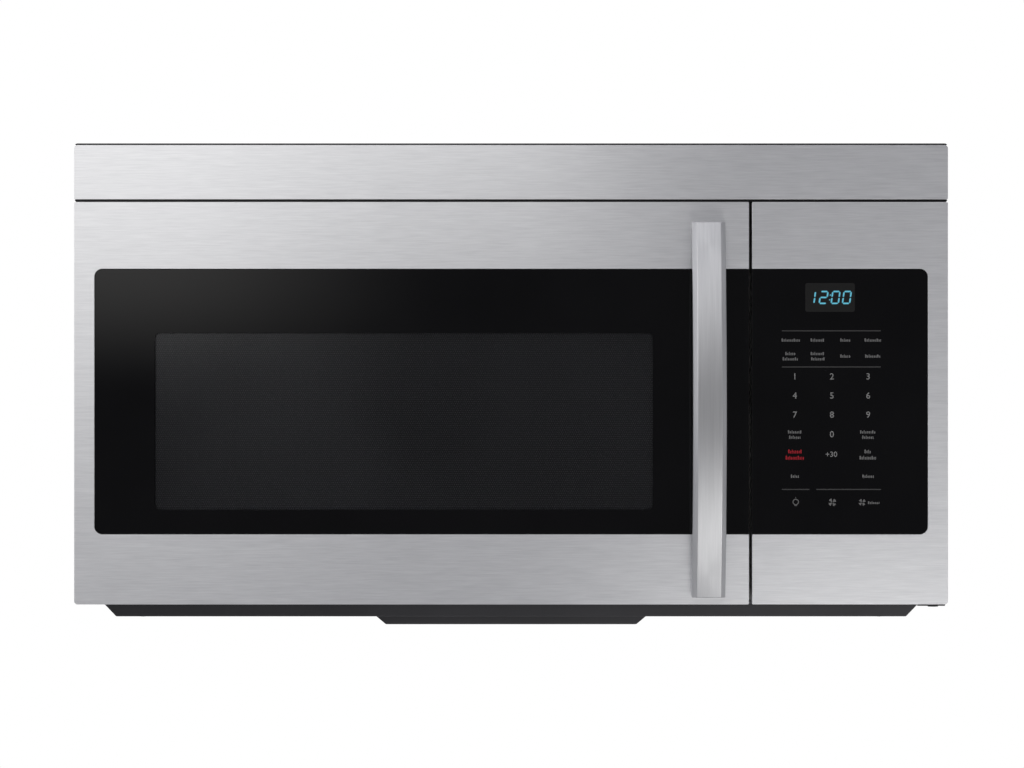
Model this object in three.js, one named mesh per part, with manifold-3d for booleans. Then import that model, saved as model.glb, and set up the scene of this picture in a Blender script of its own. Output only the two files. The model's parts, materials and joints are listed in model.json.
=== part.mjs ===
// Over-the-range microwave oven with a cooktop hood, hung on a wall, air blown back into the room.
// Millimetres. +X is right as seen from the front, the front looks along -Y, +Z is up.
// The origin lies on the wall face, in the middle of the width, at the height of the wall mount.
// Heights in this file are measured from the bottom edge of the door, and one group lowers them all.
import * as THREE from 'three';
import { mergeVertices } from 'three/addons/utils/BufferGeometryUtils.js';
import Module from 'manifold-3d';

const wasm = await Module();
wasm.setup();

// ---------------------------------------------------------------- driving dimensions

// General
const fit = 0.3;                  // gap between pieces that touch
const weld = 0.5;                 // overlap of forms joined into one piece
const faceSheet = 1.2;            // brushed steel of the face
const cabinetSheet = 1.5;         // outer cabinet, back plate and base plate
const ovenSheet = 1.2;            // cavity, waveguide and ducts
const wallMountHeight = 200;      // wall mount above the door's bottom edge

// Face, seen from the front
const faceWidth = 759;
const controlWidth = 170.3;
const panelGap = 2.6;             // upright gap between the door and the control panel
const doorHeight = 349.6;
const stripGap = 2.3;             // gap between the door and the vent strip
const stripHeight = 47.2;         // steel skin of the vent strip
const stripLip = 1.4;             // black edge of the grille above the steel
const outlineRadius = 3;          // outer corners of the face
const innerRadius = 1;            // corners next to a gap
const faceDepth = 35;             // how far the door and panel frames fold back

// Black glass, shared by the door and the control panel
const glassMargin = 17.5;         // steel beside the glass
const glassBottom = 60.8;
const glassTopMargin = 58;       // steel above the glass
const glassRadius = 7;
const glassThickness = 4;
const glassRecess = 0.8;          // glass behind the steel face

// Window in the door
const windowInset = 69.9;         // from the door's left edge
const windowRightInset = 83.2;    // from the door's right edge
const windowBottom = 82;
const windowTopInset = 113.6;     // from the door's top edge
const windowRadius = 5;

// Depths
const cabinetDepth = 345;
const doorClearance = 2.5;        // door back to cabinet front
const doorThickness = 42.5;

// Cabinet
const cabinetInset = 2;           // cabinet side behind the face edge
const cabinetDrop = 1.9;          // cabinet top below the face top
const exhaustWidth = 254;
const exhaustDepth = 83;
const exhaustSetback = 14;        // exhaust opening from the wall
const exhaustCoverLap = 8;
const exhaustCoverSheet = 1.2;
const topBoltRadius = 4;
const topBoltInset = 117.5;       // from the cabinet's side
const topBoltPadRadius = 18;      // pressed pad round the bolt hole
const topBoltPadRise = 1;
const topBoltSetback = 190;
const bracketSlotWidth = 24;
const bracketSlotHeight = 7;
const bracketSlotSpacing = 160;
const bracketSlotZ = 36;
const glandInset = 77.5;          // from the cabinet's right side
const glandSetback = 60;
const glandRadius = 13;
const glandBore = 6;
const glandFlange = 5;            // flange beyond the gland's body
const glandRise = 1.4;            // flange above the cabinet top
const glandDrop = 10;             // gland's body below the cabinet top

// Base pan
const panEndInset = 19.5;         // pan's end from the face's edge
const panEndSlope = 12.5;         // drawn in by this much at its bottom
const panDepth = 13;
const panFrontSetback = 10;       // pan front behind the cabinet front
const panBackSetback = 12;
const bulgeGap = 30.5;            // bulge to the grease filters
const bulgeSlope = 9;
const bulgeDepth = 7.5;           // bulge below the pan
const bulgeFrontSetback = 12;     // bulge behind the pan front
const bulgeBackSetback = 73;      // bulge's back from the wall
const filterWidth = 195;
const filterBackGap = 20;         // filter's back edge before the transformer
const filterThickness = 8;
const filterEndGap = 2.5;         // filter's outer edge from the pan's end
const filterSetback = 85;         // filter's front edge behind the pan front
const filterLedge = 4;            // pan left under the filter's long edges
const filterFrame = 9;
const filterBars = 11;
const filterBarShare = 0.4;       // bar width as a share of the bars' pitch
const lensWidth = 90;
const lensLength = 46;
const lensThickness = 2;
const lensEndInset = 124;         // lens middle from the pan's end
const lensSetback = 18;           // lens front edge behind the pan front
const lensLap = 4;
const lampHeight = 9;
const lampWidth = 76;
const lampLength = 34;
const lampBoardThickness = 2;
const lampRim = 2;                // wall of the reflector round the emitters
const emitterSize = 6;
const emitterDrop = 3.5;          // emitter face below the board's top

// Vent strip
const grilleWall = 2.4;
const grilleEndMargin = 40;       // from the face's edge to the first slot, at least
const grilleSlotWidth = 28;
const grilleSlotGap = 10;
const grilleSlotDepth = 16;
const grilleSlotSetback = 7;      // slots behind the grille's front
const trimReturn = 12;            // side fold of the steel skin
const charcoalWidth = 300;
const charcoalThickness = 20;

// Oven
const cavityBeyondWindow = 41.5;  // cavity wall beyond the window, all round
const cavityBackGap = 15;         // cavity to the wall
const cavityRadius = 10;
const bayFrame = 16;              // flange left round the machine bay's opening
const flangeBottom = 3;
const trayWallGap = 8;            // tray to the cavity's back
const trayThickness = 5;
const trayRim = 11;               // rim height above the tray's underside
const trayRimWidth = 9;
const trayFootInset = 2;          // outer foot of the slope, inside the rim
const trayEdgeInset = 1;          // slanted outer edge of the rim
const trayEdgeHeight = 1.5;
const trayLip = 2.5;              // flat top of the rim
const lugRadius = 2.5;            // lugs under the tray, between the coupler's lobes
const lugHeight = 5;
const lugInset = 1;               // lug middle from the lobes' ends
const wheelRadius = 7;
const wheelWidth = 6;
const wheelTrack = 104;           // wheel middle from the tray's axis
const wheelCount = 3;
const ringRadius = 94;            // middle of the roller ring's band
const ringBand = 7;               // band width
const ringHeight = 5;
const stubRadius = 1.8;           // axle stub of a wheel
const stubReach = 1.5;            // stub beyond its wheel
const wheelPlay = 0.4;
const couplerRadius = 13;
const couplerLobe = 5;
const couplerStem = 5;            // stem radius through the cavity floor
const couplerStemReach = 7;       // stem into the motor
const couplerHubWall = 2.5;       // hub round the stem
const couplerRise = 1;            // hub above the cavity floor
const couplerLobeRise = 5;        // lobes above the hub's underside
const couplerPlay = 0.5;          // motor's bore round the stem
const couplerHolePlay = 1.5;      // cavity floor's hole round the stem
const turntableMotorRadius = 25;
const turntableMotorHeight = 17;
const turntableMotorEar = 7;      // ear beyond the can, and half its width
const turntableMotorEarThickness = 1.5;
const turntableMotorBore = 8;     // depth of the bore
const lampHoleRows = 4;
const lampHoleSize = 5;
const lampHolePitch = 9;
const cavityLampSetback = 33;     // lamp's middle before the cavity's back
const cavityLampDrop = 41.5;      // lamp's middle below the cavity's top
const cavityLampSize = 44;
const cavityLampDepth = 34;
const lampSocketRadius = 8;
const lampSocketLength = 12;
const bulbRadius = 10;
const bulbGap = 5;                // bulb to the cavity wall's outer side
const bulbLap = 1;                // bulb over its socket
const coverLap = 9;               // waveguide cover beyond its port
const coverThickness = 0.8;
const coverRadius = 4;
const thermostatRadius = 8;
const thermostatHeight = 9;
const thermostatPlateLength = 28;
const thermostatPlateWidth = 12;
const thermostatPlateThickness = 1.2;
const thermostatTabSpread = 8;    // between the tabs' middles
const thermostatTabThickness = 1;
const thermostatTabWidth = 6;
const thermostatTabHeight = 6;

// Door
const innerPanelInset = 6;
const innerPanelSheet = 1.5;
const chokeCoverInset = 9;
const chokeCoverThickness = 4;
const chokeCoverRadius = 4;
const chokeCoverLap = 2;          // cover over the edge of the window well
const wellMargin = 10;            // window well beyond the window
const screenThickness = 0.8;
const innerWindowThickness = 1.5;

// Hinge
const hingeInset = 12;            // pin from the door's left edge
const hingeSetback = 28;          // pin before the door's back
const pinRadius = 2.4;
const pinHeight = 9;              // pin above its arm
const pinPlay = 0.35;
const armHalfWidth = 5.5;
const armThickness = 2;
const armGap = 0.4;               // arm to the door frame's fold
const notchPlay = 3.5;            // notch in the fold before the arm's tip
const hingeLegWidth = 26;
const hingeLegHeight = 34;
const hingeLegThickness = 1.2;

// Latch
const latchInset = 20;            // latch plate from the door's right edge
const latchThickness = 3;
const latchBottom = 62;
const latchHeight = 226;
const latchDepth = 14;
const hookReach = 24;             // hook beyond the door's back
const hookHeight = 16;
const hookTip = 5;
const latchTravel = 4;
const hookChamfer = 2;
const latchBackGap = 2;           // latch plate to the choke cover
const latchPlay = 1;              // slot beyond the hook
const latchSwing = 4;             // extra slot width for the door's arc
const springRadius = 3;
const springWire = 0.5;
const springLength = 30;
const springTurns = 9;
const springPegHeight = 3;        // peg on the inner panel, under the spring
const latchBoardWall = 2.5;
const latchBoardDepth = 40;
const latchBoardMargin = 12;
const switchDepth = 28;
const switchHeight = 16;
const switchTabInset = 2;
const switchTabThickness = 3;
const switchTabWidth = 4;
const switchTabHeight = 7;
const switchTabSpread = 14;       // between the tabs' middles

// Handle
const handleInset = 35.6;         // handle middle from the door's right edge
const handleBottom = 6.6;
const handleTopInset = 18;        // from the door's top edge
const handleWidth = 29;
const handleFaceWidth = 21;
const handleThickness = 13;
const handleBevel = 4;
const handleBackChamfer = 2;
const handleFootInset = 2;        // foot narrower than the bar, each side
const handleRise = 49;            // middle of the front face before the door
const handleEndRise = 17;         // same at the ends
const handleFoot = 26;            // height of each foot
const handleScrewRadius = 3;
const handleScrewHead = 5.5;
const handleScrewHeadHeight = 3;
const handleScrewBite = 9;        // screw inside the foot

// Machine bay, right of the cavity
const waveguideWidth = 92;
const waveguideHeight = 90;
const waveguideDepth = 38;        // across, from the cavity wall
const waveguideSetback = 105;     // waveguide's back from the wall
const waveguideRise = 87.5;       // above the cavity floor
const waveguidePortWidth = 70;
const waveguidePortHeight = 46;
const magnetronLength = 84;
const magnetronWidth = 80;
const magnetronHeight = 84;
const magnetronFins = 5;
const magnetronCore = 22;         // radius of the anode block
const yokeSheet = 2.5;
const filterBoxLength = 18;       // closed end of the magnetron, with its filter coils
const finSheet = 1.6;
const finInset = 4;               // fins inside the yoke's open sides
const antennaRadius = 9;
const antennaLength = 22;
const antennaPlay = 1.5;
const transformerWidth = 96;
const transformerLength = 86;
const transformerHeight = 78;
const transformerFoot = 2.5;
const coreInset = 4;
const coreLength = 52;
const coilWidth = 68;
const coilCorner = 12;
const primaryCoil = { bottom: 14, top: 32, length: 80 };
const secondaryCoil = { bottom: 38, top: 62, length: 84 };
const transformerOffset = 24;     // from the bay's left side
const transformerSetback = 14;
const capacitorWidth = 34;
const capacitorLength = 52;
const capacitorHeight = 92;
const capacitorGap = 14;          // beside the transformer
const capacitorFlat = 1;          // half the flat of the can's round ends
const capacitorTabShare = 0.3;    // tabs' places along the can, from each end
const capacitorTabWidth = 6;
const capacitorTabThickness = 1;
const capacitorTabHeight = 9;
const fanRadius = 44;
const fanDepth = 16;
const fanBlades = 5;
const fanHub = 11;
const fanRingGap = 3;
const fanRingWall = 3;
const fanRingDepth = 20;
const fanX = 103;                 // fan axis from the bay's left side
const fanZ = 168;
const fanSetback = 10;            // shroud's back from the wall
const fanMotorRadius = 17;
const fanMotorLength = 24;
const fanShaftRadius = 2.5;
const fanFrameMargin = 6;         // square frame beyond the shroud's ring, and its corners' radius
const fanStrutWidth = 12;
const fanStrutThickness = 3;
const fanFootWidth = 10;
const fanFootDrop = 4;            // foot below the ring
const fanFootLap = 6;             // foot above the ring's lowest point
const fanBearingPlay = 0.5;
const fanBearingFloor = 6;        // closed end of the motor's bore
const fanMotorGap = 1;            // hub to the motor
const fanShaftStop = 8;           // shaft's end before the motor's back
const fanBladeChord = 1.1;        // blade across its slant, as a share of the fan's depth
const fanBladeThickness = 1.6;
const fanBladeSlant = Math.PI / 5;
const fanBladeRoot = 2;           // blade inside the hub
const fanTipGap = 1;              // blade tip inside the fan's radius
const filterBoardWidth = 120;
const filterBoardHeight = 78;
const filterBoardDrop = 23.1;     // below the cabinet's ceiling
const filterBoardThickness = 1.6;
const filterBoardStandoff = 8;
const filterBoardPost = 3;        // radius of a post
const filterBoardPostInset = 6;
const chokeWidth = 34;
const chokeDepth = 26;
const chokeInset = 16;
const chokeRise = 20;
const relayWidth = 20;
const relayHeight = 16;
const relayDepth = 19;
const relayInset = 62;
const relayRise = 18;
const fuseRadius = 4;
const fuseLength = 36;
const fuseInset = 60;
const fuseRise = 60;

// Blower above the cavity
const blowerAxisSetback = 72;
const blowerWheelRadius = 40;
const blowerWheelWidth = 74;
const blowerBlades = 18;
const scrollRadius = 48;
const scrollWidth = 88;
const scrollSheet = 1.5;
const blowerMotorRadius = 34;
const blowerMotorLength = 66;
const blowerShaftRadius = 4;
const blowerInlet = 31;           // inlet hole radius
const blowerShaftHolePlay = 2;    // scroll's inner side round the shaft
const blowerBearingPlay = 0.5;    // motor's bore round the shaft
const bridgeRise = 0.5;           // bridge between the scrolls, above their lowest point
const bridgeSheet = 3.5;
const bridgeDepth = 36;
const cradleSize = 24;            // block under the motor, on the bridge
const blowerWheelGap = 3;         // wheel to the scroll's inner side
const blowerDiscThickness = 2;
const blowerRingThickness = 3;
const blowerRingWidth = 7;
const blowerShaftBeyond = 12;     // shaft beyond each disc's motor side
const blowerBladeThickness = 1.8;
const blowerBladeInset = 0.8;     // blades' outer edge inside the wheel's radius
const blowerBladeDepth = 5.7;
const ductMargin = 2;             // duct beyond the scrolls
const outletHeight = 34;
const outletReach = 62;           // outlet's end before the blower axis
const ductHeight = 40;

// Controls
const displayWidth = 43;
const displayHeight = 25;
const displayInset = 84.6;        // display middle from the right edge of the glass
const displayDrop = 24.9;         // display middle below the glass's top
const moduleBezel = 3;
const housingSheet = 2;
const boardWidth = 116;
const boardHeight = 236;
const boardThickness = 1.6;
const boardGap = 8;               // board behind the housing's front
const boardPostRadius = 3;
const boardPostInset = 7;         // post from the board's edges
const bezelDepth = 1;             // display set back in its module
// Parts on the board's back, each placed from the board's middle
const boardParts = [
  { x: -34, z: -80, width: 36, height: 30, depth: 22 },     // small transformer
  { x: 18, z: -84, width: 18, height: 15, depth: 16 },      // lamp relay
  { x: 40, z: -84, width: 18, height: 15, depth: 16 },      // oven relay
  { x: -30, z: -20, width: 30, height: 30, depth: 3 },      // processor
  { x: 24, z: -10, width: 26, height: 12, depth: 8 },       // wiring socket
  { x: -36, z: 70, width: 24, height: 10, depth: 9 },       // display socket
  { x: 30, z: 60, width: 20, height: 20, depth: 6 },        // buzzer
];
const panelScrewInset = 11.8;     // from the face's right edge
const panelScrewSetback = 16;     // behind the face
const panelScrewRadius = 4.6;
const panelScrewHeight = 2.2;
const panelScrewEnd = 2;          // screw beyond the housing
const panelScrewShank = 1.8;

// ---------------------------------------------------------------- places worked out from them

const faceLeft = -faceWidth / 2;
const faceRight = faceWidth / 2;
const controlLeft = faceRight - controlWidth;
const doorLeft = faceLeft;
const doorRight = controlLeft - panelGap;
const doorBack = -cabinetDepth - doorClearance;
const faceFront = doorBack - doorThickness;
const stripBottom = doorHeight + stripGap;
const faceTop = stripBottom + stripHeight + stripLip;
const glassTop = doorHeight - glassTopMargin;
const glassBack = faceFront + glassRecess + glassThickness;

const windowLeft = doorLeft + windowInset;
const windowRight = doorRight - windowRightInset;
const windowTop = doorHeight - windowTopInset;
const windowMiddleX = (windowLeft + windowRight) / 2;

const cabinetFront = -cabinetDepth;
const cabinetHalf = faceWidth / 2 - cabinetInset;
const cabinetInner = cabinetHalf - cabinetSheet;
const cabinetTop = faceTop - cabinetDrop;
const ceiling = cabinetTop - cabinetSheet;
const wallInside = -cabinetSheet - fit;      // just before the back plate
const floorTop = cabinetSheet + fit;         // just above the base plate
const topBoltX = cabinetHalf - topBoltInset;
const glandX = cabinetHalf - glandInset;

const cavityLeft = windowLeft - cavityBeyondWindow;
const cavityRight = windowRight + cavityBeyondWindow;
const cavityBottom = windowBottom - cavityBeyondWindow;
const cavityTop = windowTop + cavityBeyondWindow;
const cavityBack = -cavityBackGap;
const trayX = windowMiddleX;
const trayY = (cabinetFront + cavityBack) / 2;
const trayRadius = cavityBack - trayY - trayWallGap;
const bayLeft = cavityRight + ovenSheet + fit;
const flangeTop = stripBottom - fit;
const flangeBack = cabinetFront + ovenSheet;

const panFront = cabinetFront + panFrontSetback;
const panBack = -panBackSetback;
const panTopHalf = faceWidth / 2 - panEndInset;
const panBottomHalf = panTopHalf - panEndSlope;
const bulgeFront = panFront + bulgeFrontSetback;
const bulgeBack = -bulgeBackSetback;
const filterFront = panFront + filterSetback;
const filterBack = -transformerSetback - transformerLength - filterBackGap;
const filterOuter = panBottomHalf - filterEndGap;
const filterInner = filterOuter - filterWidth;
const bulgeTopHalf = filterInner - bulgeGap;
const bulgeBottomHalf = bulgeTopHalf - bulgeSlope;
const lensX = panTopHalf - lensEndInset;
const hingeX = doorLeft + hingeInset;
const hingeY = doorBack - hingeSetback;
const latchX = doorRight - latchInset;
const handleX = doorRight - handleInset;
const handleLength = doorHeight - handleBottom - handleTopInset;
const blowerY = -blowerAxisSetback;

// ---------------------------------------------------------------- shapes

const axes = {
  x: new THREE.Matrix4().makeBasis(
    new THREE.Vector3(0, 1, 0), new THREE.Vector3(0, 0, 1), new THREE.Vector3(1, 0, 0)),
  y: new THREE.Matrix4().makeBasis(
    new THREE.Vector3(1, 0, 0), new THREE.Vector3(0, 0, 1), new THREE.Vector3(0, -1, 0)),
  z: new THREE.Matrix4(),
};

// Box between two limits on each axis
function slab([x0, x1], [y0, y1], [z0, z1]) {
  const geometry = new THREE.BoxGeometry(x1 - x0, y1 - y0, z1 - z0);
  return geometry.translate((x0 + x1) / 2, (y0 + y1) / 2, (z0 + z1) / 2);
}

// Outline extruded along an axis between two limits. Its plane is YZ for x, XZ for y and XY for z.
function prism(outline, axis, from, to, curveSegments = 4) {
  const depth = to - from;
  const geometry = new THREE.ExtrudeGeometry(outline, { depth, bevelEnabled: false, curveSegments });
  geometry.applyMatrix4(axes[axis]);
  if (axis === 'x') return geometry.translate(from, 0, 0);
  if (axis === 'y') return geometry.translate(0, to, 0);
  return geometry.translate(0, 0, from);
}

// Round bar along an axis between two limits, through the point (a, b) of the plane across it
function rod(axis, radius, from, to, a, b, sides = 16) {
  const circle = new THREE.Shape();
  for (let i = 0; i < sides; i++) {
    const angle = (i + 0.5) * 2 * Math.PI / sides;
    const u = a + radius * Math.cos(angle);
    const v = b + radius * Math.sin(angle);
    if (i === 0) circle.moveTo(u, v);
    else circle.lineTo(u, v);
  }
  circle.closePath();
  return prism(circle, axis, from, to);
}

// Rectangle with a radius of its own at each corner
function roundedRectangle([u0, u1], [v0, v1], radii) {
  const { bl = 0, br = 0, tr = 0, tl = 0 } = typeof radii === 'number'
    ? { bl: radii, br: radii, tr: radii, tl: radii } : radii;
  const outline = new THREE.Shape();
  outline.moveTo(u0 + bl, v0);
  outline.lineTo(u1 - br, v0);
  if (br) outline.absarc(u1 - br, v0 + br, br, -Math.PI / 2, 0);
  outline.lineTo(u1, v1 - tr);
  if (tr) outline.absarc(u1 - tr, v1 - tr, tr, 0, Math.PI / 2);
  outline.lineTo(u0 + tl, v1);
  if (tl) outline.absarc(u0 + tl, v1 - tl, tl, Math.PI / 2, Math.PI);
  outline.lineTo(u0, v0 + bl);
  if (bl) outline.absarc(u0 + bl, v0 + bl, bl, Math.PI, 1.5 * Math.PI);
  return outline;
}

function polygon(points) {
  return new THREE.Shape(points.map(([u, v]) => new THREE.Vector2(u, v)));
}

function toSolid(geometry) {
  const bare = geometry.clone();
  bare.deleteAttribute('normal');
  bare.deleteAttribute('uv');
  const merged = mergeVertices(bare, 1e-4);
  return new wasm.Manifold(new wasm.Mesh({
    numProp: 3,
    vertProperties: new Float32Array(merged.attributes.position.array),
    triVerts: new Uint32Array(merged.index.array),
  }));
}

function toGeometry(solid) {
  const mesh = solid.getMesh();
  const geometry = new THREE.BufferGeometry();
  geometry.setAttribute('position', new THREE.BufferAttribute(new Float32Array(mesh.vertProperties), 3));
  geometry.setIndex(new THREE.BufferAttribute(new Uint32Array(mesh.triVerts), 1));
  geometry.computeVertexNormals();
  return geometry;
}

function join(...geometries) {
  return toGeometry(geometries.map(toSolid).reduce((whole, piece) => whole.add(piece)));
}

function cut(geometry, ...tools) {
  return toGeometry(tools.map(toSolid).reduce((whole, tool) => whole.subtract(tool), toSolid(geometry)));
}

const finishes = {
  brushedSteel: { color: 0xb9b9bc, roughness: 0.32, metalness: 1 },
  blackPaint: { color: 0x1b1b1d, roughness: 0.5, metalness: 0 },
  panPaint: { color: 0x323236, roughness: 0.45, metalness: 0 },
  blackGlass: { color: 0x0c0c0f, roughness: 0.06, metalness: 0 },
  blackPlastic: { color: 0x161618, roughness: 0.4, metalness: 0 },
  zinc: { color: 0xa9acae, roughness: 0.4, metalness: 1 },
  enamel: { color: 0x8f8f8c, roughness: 0.35, metalness: 0 },
  clearGlass: { color: 0xdfe6e6, roughness: 0.05, metalness: 0 },
  whitePlastic: { color: 0xe2e0d8, roughness: 0.5, metalness: 0 },
  aluminium: { color: 0xb5b7b9, roughness: 0.45, metalness: 1 },
  copper: { color: 0xa4582c, roughness: 0.4, metalness: 1 },
  board: { color: 0x2f5a34, roughness: 0.6, metalness: 0 },
  mica: { color: 0xb9ad93, roughness: 0.7, metalness: 0 },
  charcoal: { color: 0x1d1d1c, roughness: 0.9, metalness: 0 },
  frosted: { color: 0xdcdcd4, roughness: 0.5, metalness: 0 },
};

const appliance = new THREE.Group();

function add(name, geometry, finish, parent = appliance) {
  const mesh = new THREE.Mesh(geometry, new THREE.MeshStandardMaterial(finishes[finish]));
  mesh.name = name;
  parent.add(mesh);
  return mesh;
}

// ---------------------------------------------------------------- cabinet

function outerCabinet() {
  const wrap = slab([-cabinetHalf, cabinetHalf], [cabinetFront, 0], [0, cabinetTop]);
  const inside = slab([-cabinetInner, cabinetInner], [cabinetFront - 1, 1], [-1, ceiling]);
  const exhaust = slab(
    [-exhaustWidth / 2, exhaustWidth / 2],
    [-exhaustSetback - exhaustDepth, -exhaustSetback],
    [ceiling - 1, cabinetTop + 1]);
  const gland = rod('z', glandRadius + fit, ceiling - 1, cabinetTop + 1, glandX, -glandSetback);
  const bolts = [-1, 1].map((side) => rod(
    'z', topBoltRadius, ceiling - 1, cabinetTop + topBoltPadRise + 1, side * topBoltX, -topBoltSetback));
  const pads = [-1, 1].map((side) => rod(
    'z', topBoltPadRadius, ceiling, cabinetTop + topBoltPadRise, side * topBoltX, -topBoltSetback, 28));
  return cut(join(wrap, ...pads), inside, exhaust, gland, ...bolts);
}

function backPlate() {
  const edge = cabinetInner - fit;
  const plate = slab([-edge, edge], [-cabinetSheet, 0], [floorTop, ceiling - fit]);
  const slots = [-1.5, -0.5, 0.5, 1.5].map((step) => slab(
    [step * bracketSlotSpacing - bracketSlotWidth / 2, step * bracketSlotSpacing + bracketSlotWidth / 2],
    [-cabinetSheet - 1, 1],
    [bracketSlotZ, bracketSlotZ + bracketSlotHeight]));
  return cut(plate, ...slots);
}

function exhaustCover() {
  const halfWidth = exhaustWidth / 2 + exhaustCoverLap;
  return prism(
    roundedRectangle([-halfWidth, halfWidth],
      [-exhaustSetback - exhaustDepth - exhaustCoverLap, -exhaustSetback + exhaustCoverLap], 3),
    'z', cabinetTop + fit, cabinetTop + fit + exhaustCoverSheet);
}

function cordGland() {
  const bottom = cabinetTop - glandDrop;
  const body = rod('z', glandRadius, bottom, cabinetTop + fit, glandX, -glandSetback);
  const flange = rod(
    'z', glandRadius + glandFlange, cabinetTop + fit, cabinetTop + fit + glandRise, glandX, -glandSetback);
  const bore = rod('z', glandBore, bottom - 1, cabinetTop + glandRise + 2, glandX, -glandSetback);
  return cut(join(body, flange), bore);
}

// Corner points of the pan's cross-section, or of its hollow, drawn in by one sheet
function panOutline(inset) {
  return polygon([
    [-panTopHalf + inset, inset ? cabinetSheet + 1 : 0],
    [-panBottomHalf + inset, -panDepth + inset],
    [panBottomHalf - inset, -panDepth + inset],
    [panTopHalf - inset, inset ? cabinetSheet + 1 : 0],
  ]);
}

function bulgeOutline(inset) {
  const top = inset - panDepth;
  return polygon([
    [-bulgeTopHalf + inset, top + 0.5],
    [-bulgeTopHalf + inset, top],
    [-bulgeBottomHalf + inset, -panDepth - bulgeDepth + inset],
    [bulgeBottomHalf - inset, -panDepth - bulgeDepth + inset],
    [bulgeTopHalf - inset, top],
    [bulgeTopHalf - inset, top + 0.5],
  ]);
}

// Limits of the grease filter on one side: -1 is left, 1 is right
function filterLimits(side, margin = 0) {
  const inner = filterInner - margin;
  const outer = filterOuter + margin;
  const y = [filterFront - margin, filterBack + margin];
  return { x: side < 0 ? [-outer, -inner] : [inner, outer], y };
}

function lensLimits(side, margin = 0) {
  const middle = side * lensX;
  const front = panFront + lensSetback;
  return {
    x: [middle - lensWidth / 2 - margin, middle + lensWidth / 2 + margin],
    y: [front - margin, front + lensLength + margin],
  };
}

function basePlate() {
  const edge = cabinetInner - fit;
  const flange = slab([-edge, edge], [flangeBack + fit, wallInside], [0, cabinetSheet]);
  const pan = prism(panOutline(0), 'y', panFront, panBack);
  const bulge = prism(bulgeOutline(0), 'y', bulgeFront, bulgeBack);
  const panHollow = prism(panOutline(cabinetSheet), 'y', panFront + cabinetSheet, panBack - cabinetSheet);
  const bulgeHollow = prism(bulgeOutline(cabinetSheet), 'y',
    bulgeFront + cabinetSheet, bulgeBack - cabinetSheet);
  const openings = [-1, 1].flatMap((side) => {
    const filter = filterLimits(side, -filterLedge);
    const lens = lensLimits(side, -lensLap);
    const depth = [-panDepth - 1, -panDepth + cabinetSheet + 1];
    return [slab(filter.x, filter.y, depth), slab(lens.x, lens.y, depth)];
  });
  return cut(join(flange, pan, bulge), panHollow, bulgeHollow, ...openings);
}

function greaseFilter(side) {
  const { x, y } = filterLimits(side);
  const bottom = -panDepth + cabinetSheet + fit;
  const z = [bottom, bottom + filterThickness];
  const windowLength = filterWidth - 2 * filterFrame;
  const pitch = windowLength / (filterBars + 1);
  const gaps = [];
  for (let i = 0; i <= filterBars; i++) {
    const start = x[0] + filterFrame + i * pitch;
    gaps.push(slab([start + pitch * filterBarShare / 2, start + pitch * (1 - filterBarShare / 2)],
      [y[0] + filterFrame, y[1] - filterFrame], [z[0] - 1, z[1] + 1]));
  }
  return cut(slab(x, y, z), ...gaps);
}

function lampLens(side) {
  const { x, y } = lensLimits(side);
  const bottom = -panDepth + cabinetSheet + fit;
  const plate = prism(roundedRectangle(x, y, 3), 'z', bottom, bottom + lensThickness);
  const drop = lensLimits(side, -lensLap - fit);
  return join(plate, slab(drop.x, drop.y, [-panDepth, bottom + weld]));
}

function cooktopLamp(side) {
  const { x, y } = lensLimits(side);
  const middleX = (x[0] + x[1]) / 2;
  const middleY = (y[0] + y[1]) / 2;
  const bottom = -panDepth + cabinetSheet + fit + lensThickness + fit;
  const board = slab([middleX - lampWidth / 2, middleX + lampWidth / 2],
    [middleY - lampLength / 2, middleY + lampLength / 2],
    [bottom + lampHeight - lampBoardThickness, bottom + lampHeight]);
  const rim = cut(
    slab([middleX - lampWidth / 2, middleX + lampWidth / 2],
      [middleY - lampLength / 2, middleY + lampLength / 2], [bottom, bottom + lampHeight]),
    slab([middleX - lampWidth / 2 + lampRim, middleX + lampWidth / 2 - lampRim],
      [middleY - lampLength / 2 + lampRim, middleY + lampLength / 2 - lampRim],
      [bottom - 1, bottom + lampHeight - lampBoardThickness + weld]));
  const emitters = [-1, 0, 1].map((step) => slab(
    [middleX + step * lampWidth / 4 - emitterSize / 2, middleX + step * lampWidth / 4 + emitterSize / 2],
    [middleY - emitterSize / 2, middleY + emitterSize / 2],
    [bottom + lampHeight - emitterDrop, bottom + lampHeight - lampBoardThickness + weld]));
  return join(board, rim, ...emitters);
}

add('outer_cabinet', outerCabinet(), 'blackPaint');
add('back_plate', backPlate(), 'zinc');
add('exhaust_cover', exhaustCover(), 'zinc');
add('cord_gland', cordGland(), 'blackPlastic');
add('base_plate', basePlate(), 'panPaint');
for (const [side, word] of [[-1, 'left'], [1, 'right']]) {
  add(`grease_filter_${word}`, greaseFilter(side), 'aluminium');
  add(`lamp_lens_${word}`, lampLens(side), 'frosted');
  add(`cooktop_lamp_${word}`, cooktopLamp(side), 'whitePlastic');
}

// ---------------------------------------------------------------- vent strip

const stripTop = stripBottom + stripHeight;
const stripCorners = { tl: outlineRadius, tr: outlineRadius, bl: innerRadius, br: innerRadius };

function ventTrim() {
  const skin = prism(
    roundedRectangle([faceLeft, faceRight], [stripBottom, stripTop], stripCorners),
    'y', faceFront, faceFront + trimReturn);
  const inside = slab([faceLeft + faceSheet, faceRight - faceSheet],
    [faceFront + faceSheet, faceFront + trimReturn + 1], [stripBottom - 1, stripTop + 1]);
  return cut(skin, inside);
}

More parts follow.
